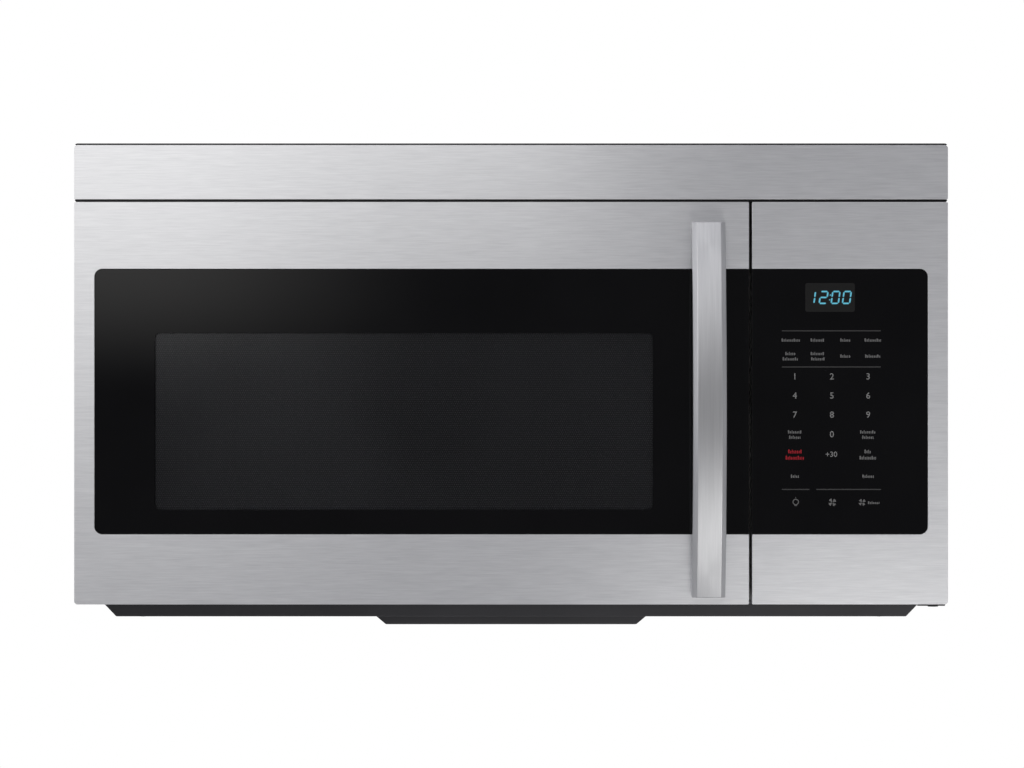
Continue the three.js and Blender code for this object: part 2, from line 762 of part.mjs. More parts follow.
function ventGrille() {
  const body = prism(
    roundedRectangle([faceLeft, faceRight], [stripBottom, faceTop], stripCorners),
    'y', faceFront, cabinetFront - fit);
  const forTrim = cut(
    slab([faceLeft - 1, faceRight + 1], [faceFront - 1, faceFront + trimReturn + fit],
      [stripBottom - 1, stripTop + fit]),
    slab([faceLeft + faceSheet + fit, faceRight - faceSheet - fit],
      [faceFront + faceSheet + fit, faceFront + trimReturn + 2], [stripBottom - 2, stripTop + 1]));
  const inside = slab(
    [faceLeft + faceSheet + fit + grilleWall, faceRight - faceSheet - fit - grilleWall],
    [faceFront + faceSheet + fit + grilleWall, cabinetFront + 1],
    [stripBottom + grilleWall, faceTop - grilleWall]);
  const pitch = grilleSlotWidth + grilleSlotGap;
  const grilleSlots = Math.floor((faceWidth - 2 * grilleEndMargin + grilleSlotGap) / pitch);
  const slots = [];
  for (let i = 0; i < grilleSlots; i++) {
    const middle = (i - (grilleSlots - 1) / 2) * pitch;
    slots.push(slab([middle - grilleSlotWidth / 2, middle + grilleSlotWidth / 2],
      [faceFront + grilleSlotSetback, faceFront + grilleSlotSetback + grilleSlotDepth],
      [faceTop - grilleWall - 1, faceTop + 1]));
  }
  return cut(body, forTrim, inside, ...slots);
}

function charcoalFilter() {
  const back = cabinetFront - fit;
  return slab([-charcoalWidth / 2, charcoalWidth / 2], [back - charcoalThickness, back],
    [stripBottom + grilleWall + fit, faceTop - grilleWall - fit]);
}

add('vent_trim', ventTrim(), 'brushedSteel');
add('vent_grille', ventGrille(), 'blackPlastic');
add('charcoal_filter', charcoalFilter(), 'charcoal');

// ---------------------------------------------------------------- oven cavity and its lamp

const hookLevels = [latchBottom + hookTip, latchBottom + latchHeight - hookHeight];
const portMiddleY = -waveguideSetback - waveguideWidth / 2;
const waveguideBottom = cavityBottom + waveguideRise;
const portMiddleZ = waveguideBottom + waveguideHeight / 2;
const cavityLampY = cavityBack - cavityLampSetback;
const cavityLampZ = cavityTop - cavityLampDrop;

function hookSlot(level, from, to) {
  return slab([latchX - latchPlay, latchX + latchThickness + latchSwing], [from, to],
    [level - hookTip - latchPlay, level + hookHeight + latchTravel + latchPlay]);
}

function lampHoles() {
  const holes = [];
  for (let row = 0; row < lampHoleRows; row++) {
    for (let column = 0; column < lampHoleRows; column++) {
      const y = cavityLampY + (column - (lampHoleRows - 1) / 2) * lampHolePitch;
      const z = cavityLampZ + (row - (lampHoleRows - 1) / 2) * lampHolePitch;
      holes.push(slab([cavityRight - 1, cavityRight + ovenSheet + 1],
        [y - lampHoleSize / 2, y + lampHoleSize / 2], [z - lampHoleSize / 2, z + lampHoleSize / 2]));
    }
  }
  return holes;
}

function ovenCavity() {
  const shell = prism(
    roundedRectangle([cavityLeft - ovenSheet, cavityRight + ovenSheet],
      [cavityBottom - ovenSheet, cavityTop + ovenSheet], cavityRadius + ovenSheet),
    'y', cabinetFront, cavityBack + ovenSheet);
  const flange = slab([-cabinetInner + fit, cabinetInner - fit], [cabinetFront, flangeBack],
    [flangeBottom, flangeTop]);
  const bayOpening = slab([controlLeft + bayFrame, cabinetInner - bayFrame],
    [cabinetFront - 1, flangeBack + 1], [flangeBottom + bayFrame, flangeTop - bayFrame]);
  const inside = prism(
    roundedRectangle([cavityLeft, cavityRight], [cavityBottom, cavityTop], cavityRadius),
    'y', cabinetFront - 1, cavityBack);
  const shaftHole = rod('z', couplerStem + couplerHolePlay,
    cavityBottom - ovenSheet - 1, cavityBottom + 1, trayX, trayY);
  const port = slab([cavityRight - 1, cavityRight + ovenSheet + 1],
    [portMiddleY - waveguidePortWidth / 2, portMiddleY + waveguidePortWidth / 2],
    [portMiddleZ - waveguidePortHeight / 2, portMiddleZ + waveguidePortHeight / 2]);
  const slots = hookLevels.map((level) => hookSlot(level, cabinetFront - 1, flangeBack + 1));
  return cut(join(shell, flange), inside, bayOpening, shaftHole, port, ...slots, ...lampHoles());
}

function waveguideCover() {
  const x = cavityRight - fit;
  return prism(
    roundedRectangle(
      [portMiddleY - waveguidePortWidth / 2 - coverLap, portMiddleY + waveguidePortWidth / 2 + coverLap],
      [portMiddleZ - waveguidePortHeight / 2 - coverLap, portMiddleZ + waveguidePortHeight / 2 + coverLap],
      coverRadius),
    'x', x - coverThickness, x);
}

function cavityLamp() {
  const half = cavityLampSize / 2;
  const y = [cavityLampY - half, cavityLampY + half];
  const z = [cavityLampZ - half, cavityLampZ + half];
  const box = cut(slab([bayLeft, bayLeft + cavityLampDepth], y, z),
    slab([bayLeft - 1, bayLeft + cavityLampDepth - ovenSheet],
      [y[0] + ovenSheet, y[1] - ovenSheet], [z[0] + ovenSheet, z[1] - ovenSheet]));
  const socketEnd = bayLeft + cavityLampDepth;
  const socketStart = socketEnd - lampSocketLength;
  const socket = rod('x', lampSocketRadius, socketStart, socketEnd, cavityLampY, cavityLampZ, 12);
  const bulb = rod('x', bulbRadius, bayLeft + bulbGap, socketStart + bulbLap, cavityLampY, cavityLampZ, 12);
  return join(box, socket, bulb);
}

function cavityThermostat() {
  const z = cavityTop + ovenSheet + fit;
  const plate = slab([trayX - thermostatPlateLength / 2, trayX + thermostatPlateLength / 2],
    [trayY - thermostatPlateWidth / 2, trayY + thermostatPlateWidth / 2], [z, z + thermostatPlateThickness]);
  const can = rod('z', thermostatRadius, z, z + thermostatHeight, trayX, trayY);
  const tabs = [-1, 1].map((side) => {
    const x = trayX + side * thermostatTabSpread / 2;
    return slab([x - thermostatTabThickness / 2, x + thermostatTabThickness / 2],
      [trayY - thermostatTabWidth / 2, trayY + thermostatTabWidth / 2],
      [z + thermostatHeight - weld, z + thermostatHeight + thermostatTabHeight]);
  });
  return join(plate, can, ...tabs);
}

add('oven_cavity', ovenCavity(), 'enamel');
add('waveguide_cover', waveguideCover(), 'mica');
add('cavity_lamp', cavityLamp(), 'zinc');
add('cavity_thermostat', cavityThermostat(), 'whitePlastic');

// ---------------------------------------------------------------- turntable

const wheelZ = cavityBottom + fit + wheelRadius;
const trayZ = wheelZ + wheelRadius + fit;
const turntable = new THREE.Group();
turntable.position.set(trayX, trayY, 0);
appliance.add(turntable);

function turntableMotor() {
  const top = cavityBottom - ovenSheet - fit;
  const can = rod('z', turntableMotorRadius, top - turntableMotorHeight, top, 0, 0, 28);
  const earEnd = turntableMotorRadius + turntableMotorEar;
  const ears = slab([-earEnd, earEnd], [-turntableMotorEar, turntableMotorEar],
    [top - turntableMotorEarThickness, top]);
  const bore = rod('z', couplerStem + couplerPlay, top - turntableMotorBore, top + 1, 0, 0);
  return cut(join(can, ears), bore);
}

function driveCoupler() {
  const top = trayZ - fit;
  const bottom = cavityBottom + couplerRise;
  const stem = rod('z', couplerStem, cavityBottom - ovenSheet - fit - couplerStemReach, top, 0, 0);
  const lobes = [0, 1, 2].map((i) => {
    const lobe = slab([0, couplerRadius], [-couplerLobe / 2, couplerLobe / 2],
      [bottom + couplerLobeRise, top]);
    return lobe.rotateZ(i * 2 * Math.PI / 3);
  });
  const hub = rod('z', couplerStem + couplerHubWall, bottom, top, 0, 0);
  return join(stem, hub, ...lobes);
}

function glassTray() {
  const outer = trayRadius;
  const profile = [
    [0, 0], [outer - trayRimWidth - trayFootInset, 0],
    [outer - trayEdgeInset, trayRim - trayEdgeHeight], [outer, trayRim],
    [outer - trayLip, trayRim], [outer - trayRimWidth, trayThickness], [0, trayThickness],
  ].map(([r, z]) => new THREE.Vector2(r, trayZ + z));
  const dish = new THREE.LatheGeometry(profile, 44).rotateX(Math.PI / 2);
  const lugs = [0, 1, 2].map((i) => {
    const angle = (i + 0.5) * 2 * Math.PI / 3;
    const reach = couplerRadius - lugInset;
    return rod('z', lugRadius, trayZ - lugHeight, trayZ + weld,
      reach * Math.cos(angle), reach * Math.sin(angle), 8);
  });
  return join(dish, ...lugs);
}

function wheelAngle(i) {
  return Math.PI / 2 + i * 2 * Math.PI / wheelCount;
}

function rollerRing() {
  const low = wheelZ - ringHeight / 2;
  const high = wheelZ + ringHeight / 2;
  const band = cut(rod('z', ringRadius + ringBand / 2, low, high, 0, 0, 40),
    rod('z', ringRadius - ringBand / 2, low - 1, high + 1, 0, 0, 40));
  const stubs = Array.from({ length: wheelCount }, (_, i) => rod(
    'x', stubRadius, ringRadius, wheelTrack + wheelWidth / 2 + stubReach, 0, wheelZ, 10)
    .rotateZ(wheelAngle(i)));
  return join(band, ...stubs);
}

function rollerWheel() {
  const half = wheelWidth / 2;
  return cut(rod('x', wheelRadius, wheelTrack - half, wheelTrack + half, 0, wheelZ, 20),
    rod('x', stubRadius + wheelPlay, wheelTrack - half - 1, wheelTrack + half + 1, 0, wheelZ, 10));
}

add('turntable_motor', turntableMotor(), 'zinc', turntable);
add('drive_coupler', driveCoupler(), 'whitePlastic', turntable);
add('glass_tray', glassTray(), 'clearGlass', turntable);
add('roller_ring', rollerRing(), 'whitePlastic', turntable);
for (let i = 0; i < wheelCount; i++) {
  const wheel = add(`roller_wheel_${i + 1}`, rollerWheel(), 'whitePlastic', turntable);
  wheel.rotation.z = wheelAngle(i);
}

// ---------------------------------------------------------------- door

const innerPanelFront = glassBack + fit;
const innerPlateBack = innerPanelFront + innerPanelSheet;
const innerPanelBackY = doorBack - chokeCoverThickness - fit;
const doorFoldLeft = doorLeft + faceSheet;
const doorFoldRight = doorRight - faceSheet;
const handleMiddleZ = handleBottom + handleLength / 2;
const handleScrewLevels = [handleBottom + handleFoot / 2, handleBottom + handleLength - handleFoot / 2];
const armLow = faceSheet + armGap;
const hingeLevels = { lower: 1, upper: -1 };      // way in which each pin points

// Height of a point of the lower hinge, mirrored to the door's top for the upper one
function hingeZ(word, height) {
  return hingeLevels[word] > 0 ? height : doorHeight - height;
}

function hingeSlab(word, x, y, [low, high]) {
  const ends = [hingeZ(word, low), hingeZ(word, high)].sort((a, b) => a - b);
  return slab(x, y, ends);
}

function hingeRod(word, radius, low, high) {
  const ends = [hingeZ(word, low), hingeZ(word, high)].sort((a, b) => a - b);
  return rod('z', radius, ends[0], ends[1], hingeX, hingeY);
}

function doorFrame() {
  const back = faceFront + faceDepth;
  const skin = prism(
    roundedRectangle([doorLeft, doorRight], [0, doorHeight],
      { bl: outlineRadius, br: innerRadius, tr: innerRadius, tl: innerRadius }),
    'y', faceFront, back);
  const pocket = slab([doorFoldLeft, doorFoldRight], [faceFront + faceSheet, back + 1],
    [faceSheet, doorHeight - faceSheet]);
  const glassHole = prism(
    roundedRectangle([faceLeft + glassMargin, doorRight + 1], [glassBottom, glassTop],
      { bl: glassRadius, tl: glassRadius }),
    'y', faceFront - 1, glassBack + fit);
  const notches = Object.keys(hingeLevels).map((word) => hingeSlab(word,
    [doorLeft - 1, doorFoldLeft + 1], [hingeY - armHalfWidth - notchPlay, back + 1],
    [faceSheet, armLow + armThickness + 1]));
  const screwHoles = handleScrewLevels.map((z) => rod(
    'y', handleScrewRadius + fit, faceFront - 1, faceFront + faceSheet + 1, handleX, z, 12));
  return cut(skin, pocket, glassHole, ...notches, ...screwHoles);
}

function doorGlass() {
  return prism(
    roundedRectangle([faceLeft + glassMargin + fit, doorRight], [glassBottom + fit, glassTop - fit],
      { bl: glassRadius - fit, tl: glassRadius - fit }),
    'y', faceFront + glassRecess, glassBack);
}

function wellLimits(margin) {
  return {
    x: [windowLeft - wellMargin - margin, windowRight + wellMargin + margin],
    z: [windowBottom - wellMargin - margin, windowTop + wellMargin + margin],
  };
}

const springX = latchX + latchThickness / 2;
const springY = innerPanelBackY - latchBackGap - latchDepth / 2;
const springLow = latchBottom - fit - springLength;

function doorInnerPanel() {
  const inset = innerPanelInset;
  const well = wellLimits(0);
  const wellOuter = wellLimits(innerPanelSheet);
  const plate = slab([doorFoldLeft + fit, doorFoldRight - fit], [innerPanelFront, innerPlateBack],
    [faceSheet + fit, doorHeight - faceSheet - fit]);
  const box = slab([doorLeft + inset, doorRight - inset], [innerPanelFront, innerPanelBackY],
    [inset, doorHeight - inset]);
  const groove = cut(
    slab([doorLeft + inset + innerPanelSheet, doorRight - inset - innerPanelSheet],
      [innerPlateBack, innerPanelBackY + 1],
      [inset + innerPanelSheet, doorHeight - inset - innerPanelSheet]),
    slab(wellOuter.x, [innerPlateBack - 1, innerPanelBackY + 2], wellOuter.z));
  const wellHollow = slab(well.x, [innerPlateBack, innerPanelBackY + 1], well.z);
  const opening = prism(
    roundedRectangle([windowLeft, windowRight], [windowBottom, windowTop], windowRadius),
    'y', innerPanelFront - 1, innerPlateBack + 1);
  const peg = slab([springX - springRadius, springX + springRadius],
    [innerPlateBack - weld, springY + springRadius],
    [springLow - fit - springPegHeight, springLow - fit]);
  const pinHoles = Object.keys(hingeLevels).map((word) => hingeRod(
    word, pinRadius + pinPlay, inset - 1, inset + innerPanelSheet + 1));
  const screwHoles = handleScrewLevels.map((z) => rod(
    'y', handleScrewRadius + fit, innerPanelFront - 1, innerPlateBack + 1, handleX, z, 12));
  return join(cut(join(plate, box), groove, wellHollow, opening, ...pinHoles, ...screwHoles), peg);
}

function windowScreen() {
  const { x, z } = wellLimits(-fit);
  return slab(x, [innerPlateBack + fit, innerPlateBack + fit + screenThickness], z);
}

function innerWindow() {
  const { x, z } = wellLimits(-fit);
  return slab(x, [innerPanelBackY - innerWindowThickness, innerPanelBackY], z);
}

function chokeCover() {
  const inset = chokeCoverInset;
  const y = [doorBack - chokeCoverThickness, doorBack];
  const well = wellLimits(-chokeCoverLap);
  const plate = prism(
    roundedRectangle([doorLeft + inset, doorRight - inset], [inset, doorHeight - inset], chokeCoverRadius),
    'y', ...y);
  const slots = hookLevels.map((level) => hookSlot(level, y[0] - 1, y[1] + 1));
  return cut(plate, slab(well.x, [y[0] - 1, y[1] + 1], well.z), ...slots);
}

// Bracket on the cavity's front flange, with its arm reaching forwards and the pin at the arm's end
function hinge(word) {
  const armTop = armLow + armThickness;
  const legBack = cabinetFront - fit;
  const left = hingeX - armHalfWidth;
  const leg = hingeSlab(word, [left, left + hingeLegWidth],
    [legBack - hingeLegThickness, legBack], [armLow, armLow + hingeLegHeight]);
  const arm = hingeSlab(word, [left, hingeX + armHalfWidth], [hingeY, legBack], [armLow, armTop]);
  const tip = hingeRod(word, armHalfWidth, armLow, armTop);
  const pin = hingeRod(word, pinRadius, armLow, armTop + pinHeight);
  return join(leg, arm, tip, pin);
}

add('hinge_lower', hinge('lower'), 'zinc');
add('hinge_upper', hinge('upper'), 'zinc');
add('door_frame', doorFrame(), 'brushedSteel');
add('door_glass', doorGlass(), 'blackGlass');
add('door_inner_panel', doorInnerPanel(), 'blackPaint');
add('window_screen', windowScreen(), 'blackPaint');
add('inner_window', innerWindow(), 'clearGlass');
add('choke_cover', chokeCover(), 'blackPlastic');

// ---------------------------------------------------------------- latch

function doorLatch() {
  const x = [latchX, latchX + latchThickness];
  const back = innerPanelBackY - latchBackGap;
  const tip = doorBack + hookReach;
  const plate = slab(x, [back - latchDepth, back], [latchBottom, latchBottom + latchHeight]);
  const hooks = hookLevels.map((level) => prism(polygon([
    [back - 1, level], [tip - hookTip - hookChamfer, level],
    [tip - hookTip - hookChamfer, level - hookTip], [tip - hookChamfer, level - hookTip],
    [tip, level - hookTip + hookChamfer], [tip, level + hookHeight / 2],
    [tip - hookTip, level + hookHeight], [back - 1, level + hookHeight],
  ]), 'x', ...x));
  return join(plate, ...hooks);
}

// One unbroken wire. Its turns stand springLength / springTurns apart, more than two wires.
function latchSpring() {
  const stepsPerTurn = 8;
  const sides = 5;
  const radius = springRadius - springWire;
  const steps = springTurns * stepsPerTurn;
  const rise = (springLength - 2 * springWire) / steps;
  const positions = [];
  const triangles = [];
  for (let i = 0; i <= steps; i++) {
    const angle = i * 2 * Math.PI / stepsPerTurn;
    const out = new THREE.Vector3(Math.cos(angle), Math.sin(angle), 0);
    const up = new THREE.Vector3(0, 0, 1);
    const middle = new THREE.Vector3(springX, springY, springLow + springWire + i * rise)
      .addScaledVector(out, radius);
    for (let k = 0; k < sides; k++) {
      const turn = k * 2 * Math.PI / sides;
      const point = middle.clone()
        .addScaledVector(out, springWire * Math.cos(turn))
        .addScaledVector(up, springWire * Math.sin(turn));
      positions.push(point.x, point.y, point.z);
    }
  }
  for (let i = 0; i < steps; i++) {
    for (let k = 0; k < sides; k++) {
      const a = i * sides + k;
      const b = i * sides + (k + 1) % sides;
      triangles.push(a, a + sides, b, b, a + sides, b + sides);
    }
  }
  for (let k = 1; k < sides - 1; k++) {
    const last = steps * sides;
    triangles.push(0, k, k + 1);
    triangles.push(last, last + k + 1, last + k);
  }
  const geometry = new THREE.BufferGeometry();
  geometry.setAttribute('position', new THREE.Float32BufferAttribute(positions, 3));
  geometry.setIndex(triangles);
  return geometry;
}

add('door_latch', doorLatch(), 'whitePlastic');
add('latch_spring', latchSpring(), 'zinc');

// ---------------------------------------------------------------- handle

const bowRise = handleRise - handleEndRise;
const bowRadius = ((handleLength / 2) ** 2 + bowRise ** 2) / (2 * bowRise);

// Front and back of the bowed bar before the door, at a height above its middle
function handleSection(z) {
  const slope = Math.asin(z / bowRadius);
  const front = handleRise - bowRadius * (1 - Math.cos(slope));
  return { front, back: front - handleThickness / Math.cos(slope) };
}

function handleBar() {
  const steps = 20;
  const positions = [];
  const triangles = [];
  const half = handleWidth / 2;
  const halfFace = handleFaceWidth / 2;
  for (let i = 0; i <= steps; i++) {
    const z = (i / steps - 0.5) * handleLength;
    const { front, back } = handleSection(z);
    const section = [
      [-halfFace, front], [halfFace, front], [half, front - handleBevel],
      [half, back + handleBackChamfer], [half - handleBackChamfer, back],
      [-half + handleBackChamfer, back], [-half, back + handleBackChamfer], [-half, front - handleBevel],
    ];
    for (const [x, rise] of section) positions.push(handleX + x, faceFront - rise, handleMiddleZ + z);
  }
  const sides = 8;
  for (let i = 0; i < steps; i++) {
    for (let k = 0; k < sides; k++) {
      const a = i * sides + k;
      const b = i * sides + (k + 1) % sides;
      triangles.push(a, b, a + sides, b, b + sides, a + sides);
    }
  }
  for (let k = 1; k < sides - 1; k++) {
    const last = steps * sides;
    triangles.push(0, k + 1, k);
    triangles.push(last, last + k, last + k + 1);
  }
  const geometry = new THREE.BufferGeometry();
  geometry.setAttribute('position', new THREE.Float32BufferAttribute(positions, 3));
  geometry.setIndex(triangles);
  return geometry;
}

function handle() {
  const halfWidth = handleWidth / 2 - handleFootInset;
  const feet = [-1, 1].map((side) => {
    const outer = side * handleLength / 2;
    const inner = side * (handleLength / 2 - handleFoot);
    const seat = faceFront - fit;
    const outerRise = (handleSection(outer).back + handleSection(outer).front) / 2;
    const innerRise = (handleSection(inner).back + handleSection(inner).front) / 2;
    return prism(polygon([
      [seat, handleMiddleZ + outer], [seat, handleMiddleZ + inner],
      [faceFront - innerRise, handleMiddleZ + inner], [faceFront - outerRise, handleMiddleZ + outer],
    ]), 'x', handleX - halfWidth, handleX + halfWidth);
  });
  const bores = handleScrewLevels.map((z) => rod(
    'y', handleScrewRadius + fit, faceFront - handleScrewBite - 1, faceFront + 1, handleX, z, 12));
  return cut(join(handleBar(), ...feet), ...bores);
}

function handleScrew(z) {
  const seat = innerPlateBack + fit;
  const shank = rod('y', handleScrewRadius, faceFront - handleScrewBite, seat + weld, handleX, z, 12);
  const head = rod('y', handleScrewHead, seat, seat + handleScrewHeadHeight, handleX, z, 12);
  return join(shank, head);
}

add('handle', handle(), 'brushedSteel');
add('handle_screw_lower', handleScrew(handleScrewLevels[0]), 'zinc');
add('handle_screw_upper', handleScrew(handleScrewLevels[1]), 'zinc');

// ---------------------------------------------------------------- door interlock

function latchBoard() {
  const front = flangeBack + fit;
  const left = latchX - latchBoardMargin;
  const right = latchX + latchThickness + latchSwing + latchBoardMargin;
  const z = [latchBottom - latchBoardMargin, latchBottom + latchHeight + latchBoardMargin];
  const plate = slab([left, right], [front, front + latchBoardWall], z);
  const web = slab([right - latchBoardWall, right], [front, front + latchBoardDepth], z);
  const slots = hookLevels.map((level) => hookSlot(level, front - 1, front + latchBoardWall + 1));
  return cut(join(plate, web), ...slots);
}

function interlockSwitch(level) {
  const front = flangeBack + 2 * fit + latchBoardWall;
  const right = latchX + latchThickness + latchSwing + latchBoardMargin - latchBoardWall - fit;
  const left = latchX + latchThickness + latchSwing + fit;
  const body = slab([left, right], [front, front + switchDepth], [level, level + switchHeight]);
  const tabs = [-1, 1].map((side) => {
    const y = front + switchDepth / 2 + side * switchTabSpread / 2;
    return slab([left + switchTabInset, left + switchTabInset + switchTabThickness],
      [y - switchTabWidth / 2, y + switchTabWidth / 2],
      [level + switchHeight - weld, level + switchHeight + switchTabHeight]);
  });
  return join(body, ...tabs);
}

add('latch_board', latchBoard(), 'whitePlastic');
add('interlock_switch_lower', interlockSwitch(hookLevels[0]), 'blackPlastic');
add('interlock_switch_upper', interlockSwitch(hookLevels[1]), 'blackPlastic');

// ---------------------------------------------------------------- machine bay

const panFloor = -panDepth + cabinetSheet + fit;

function waveguide() {
  const x = [bayLeft, bayLeft + waveguideDepth];
  const y = [-waveguideSetback - waveguideWidth, -waveguideSetback];
  const z = [waveguideBottom, waveguideBottom + waveguideHeight];
  const box = slab(x, y, z);
  const inside = slab([x[0] - 1, x[1] - ovenSheet], [y[0] + ovenSheet, y[1] - ovenSheet],
    [z[0] + ovenSheet, z[1] - ovenSheet]);
  const hole = rod('x', antennaRadius + antennaPlay, x[1] - ovenSheet - 1, x[1] + 1,
    portMiddleY, portMiddleZ);
  return cut(box, inside, hole);
}

function magnetron() {
  const x0 = bayLeft + waveguideDepth + fit;
  const y = [portMiddleY - magnetronWidth / 2, portMiddleY + magnetronWidth / 2];
  const z = [portMiddleZ - magnetronHeight / 2, portMiddleZ + magnetronHeight / 2];
  const x1 = x0 + magnetronLength;
  const yoke = cut(slab([x0, x1], y, z),
    slab([x0 + yokeSheet, x1 - filterBoxLength], [y[0] - 1, y[1] + 1], [z[0] + yokeSheet, z[1] - yokeSheet]));
  const core = rod('x', magnetronCore, x0 + weld, x1 - filterBoxLength + weld, portMiddleY, portMiddleZ);
  const antenna = rod('x', antennaRadius, x0 - fit - antennaLength, x0 + weld, portMiddleY, portMiddleZ);
  const finPitch = (magnetronLength - yokeSheet - filterBoxLength) / (magnetronFins + 1);
  const fins = Array.from({ length: magnetronFins }, (_, i) => {
    const x = x0 + yokeSheet + (i + 1) * finPitch;
    return slab([x - finSheet / 2, x + finSheet / 2], [y[0] + finInset, y[1] - finInset],
      [z[0] + yokeSheet - weld, z[1] - yokeSheet + weld]);
  });
  return join(yoke, core, antenna, ...fins);
}

function transformer() {
  const x0 = bayLeft + transformerOffset;
  const y0 = -transformerSetback - transformerLength;
  const middleX = x0 + transformerWidth / 2;
  const middleY = y0 + transformerLength / 2;
  const base = slab([x0, x0 + transformerWidth], [y0, y0 + transformerLength],
    [panFloor, panFloor + transformerFoot]);
  const core = slab([x0 + coreInset, x0 + transformerWidth - coreInset],
    [middleY - coreLength / 2, middleY + coreLength / 2], [panFloor, panFloor + transformerHeight]);
  const coils = [primaryCoil, secondaryCoil].map(({ bottom, top, length }) => prism(
    roundedRectangle([middleX - coilWidth / 2, middleX + coilWidth / 2],
      [middleY - length / 2, middleY + length / 2], coilCorner),
    'z', panFloor + bottom, panFloor + top));
  return join(base, core, ...coils);
}

function capacitor() {
  const x0 = bayLeft + transformerOffset + transformerWidth + capacitorGap;
  const y0 = -transformerSetback - capacitorLength;
  const can = prism(
    roundedRectangle([x0, x0 + capacitorWidth], [y0, y0 + capacitorLength],
      capacitorWidth / 2 - capacitorFlat),
    'z', panFloor, panFloor + capacitorHeight);
  const middleX = x0 + capacitorWidth / 2;
  const tabs = [capacitorTabShare, 1 - capacitorTabShare].map((share) => {
    const y = y0 + capacitorLength * share;
    return slab([middleX - capacitorTabWidth / 2, middleX + capacitorTabWidth / 2],
      [y - capacitorTabThickness / 2, y + capacitorTabThickness / 2],
      [panFloor + capacitorHeight - weld, panFloor + capacitorHeight + capacitorTabHeight]);
  });
  return join(can, ...tabs);
}

// Line filter board on four posts before the back plate, with its choke, relay and fuse
function filterBoard() {
  const x0 = bayLeft + transformerOffset;
  const z0 = ceiling - filterBoardDrop - filterBoardHeight;
  const back = wallInside - filterBoardStandoff;
  const front = back - filterBoardThickness;
  const plate = slab([x0, x0 + filterBoardWidth], [front, back], [z0, z0 + filterBoardHeight]);
  const posts = [filterBoardPostInset, filterBoardWidth - filterBoardPostInset].flatMap(
    (dx) => [filterBoardPostInset, filterBoardHeight - filterBoardPostInset].map((dz) => rod(
      'y', filterBoardPost, back - weld, wallInside, x0 + dx, z0 + dz, 8)));
  const choke = slab([x0 + chokeInset, x0 + chokeInset + chokeWidth], [front - chokeDepth, front + weld],
    [z0 + chokeRise, z0 + chokeRise + chokeWidth]);
  const relay = slab([x0 + relayInset, x0 + relayInset + relayWidth], [front - relayDepth, front + weld],
    [z0 + relayRise, z0 + relayRise + relayHeight]);
  const fuse = rod('x', fuseRadius, x0 + fuseInset, x0 + fuseInset + fuseLength,
    front - fuseRadius + weld, z0 + fuseRise, 8);
  return join(plate, ...posts, choke, relay, fuse);
}

const fanAxisX = bayLeft + fanX;
const fanBack = -fanSetback;
const fanRingRadius = fanRadius + fanRingGap;

function fanShroud() {
  const outer = fanRingRadius + fanRingWall;
  const frame = outer + fanFrameMargin;
  const ring = cut(
    prism(
      roundedRectangle([fanAxisX - frame, fanAxisX + frame], [fanZ - frame, fanZ + frame], fanFrameMargin),
      'y', fanBack - fanRingDepth - fanMotorLength, fanBack),
    rod('y', fanRingRadius, fanBack - fanRingDepth - fanMotorLength - 1, fanBack + 1, fanAxisX, fanZ, 28));
  const strut = slab([fanAxisX - outer, fanAxisX + outer], [fanBack - fanStrutThickness, fanBack],
    [fanZ - fanStrutWidth / 2, fanZ + fanStrutWidth / 2]);
  const feet = [-1, 1].map((side) => {
    const x = fanAxisX + side * outer;
    return slab([x - fanFootWidth / 2, x + fanFootWidth / 2], [fanBack - 1, wallInside],
      [fanZ - outer - fanFootDrop, fanZ - outer + fanFootLap]);
  });
  return join(ring, strut, ...feet);
}

function fanMotor() {
  const back = fanBack - fanStrutThickness - fit;
  const can = rod('y', fanMotorRadius, back - fanMotorLength, back, fanAxisX, fanZ, 20);
  const bore = rod('y', fanShaftRadius + fanBearingPlay, back - fanMotorLength - 1, back - fanBearingFloor,
    fanAxisX, fanZ, 12);
  return cut(can, bore);
}

function coolingFan() {
  const back = fanBack - fanStrutThickness - fit - fanMotorLength - fanMotorGap;
  const hub = rod('y', fanHub, back - fanDepth, back, 0, 0, 16);
  const shaft = rod('y', fanShaftRadius, back - weld, back + fanMotorLength - fanShaftStop, 0, 0, 12);
  const blades = Array.from({ length: fanBlades }, (_, i) => slab(
    [-fanDepth * fanBladeChord / 2, fanDepth * fanBladeChord / 2],
    [-fanBladeThickness / 2, fanBladeThickness / 2], [fanHub - fanBladeRoot, fanRadius - fanTipGap])
    .rotateZ(fanBladeSlant)
    .translate(0, back - fanDepth / 2, 0)
    .rotateY(i * 2 * Math.PI / fanBlades));
  return join(hub, shaft, ...blades);
}

add('waveguide', waveguide(), 'zinc');
add('magnetron', magnetron(), 'aluminium');
add('hv_transformer', transformer(), 'copper');
add('hv_capacitor', capacitor(), 'zinc');
add('noise_filter_board', filterBoard(), 'board');
add('fan_shroud', fanShroud(), 'blackPlastic');
add('fan_motor', fanMotor(), 'zinc');
const fanPlace = new THREE.Group();
fanPlace.position.set(fanAxisX, 0, fanZ);
appliance.add(fanPlace);
add('cooling_fan', coolingFan(), 'whitePlastic', fanPlace);

// ---------------------------------------------------------------- vent blower and its duct

const blowerZ = ceiling - fit - scrollRadius;
const scrollStart = blowerMotorLength / 2 + fit;
const outletEnd = blowerY - outletReach;

function scrollOutline(inset) {
  const outline = new THREE.Shape();
  const radius = scrollRadius - inset;
  const low = blowerZ + scrollRadius - outletHeight + inset;
  const meet = Math.asin((low - blowerZ) / radius);
  outline.moveTo(outletEnd - (inset ? 1 : 0), blowerZ + radius);
  outline.lineTo(outletEnd - (inset ? 1 : 0), low);
  outline.lineTo(blowerY - radius * Math.cos(meet), low);
  outline.absarc(blowerY, blowerZ, radius, Math.PI - meet, 2.5 * Math.PI, false);
  return outline;
}

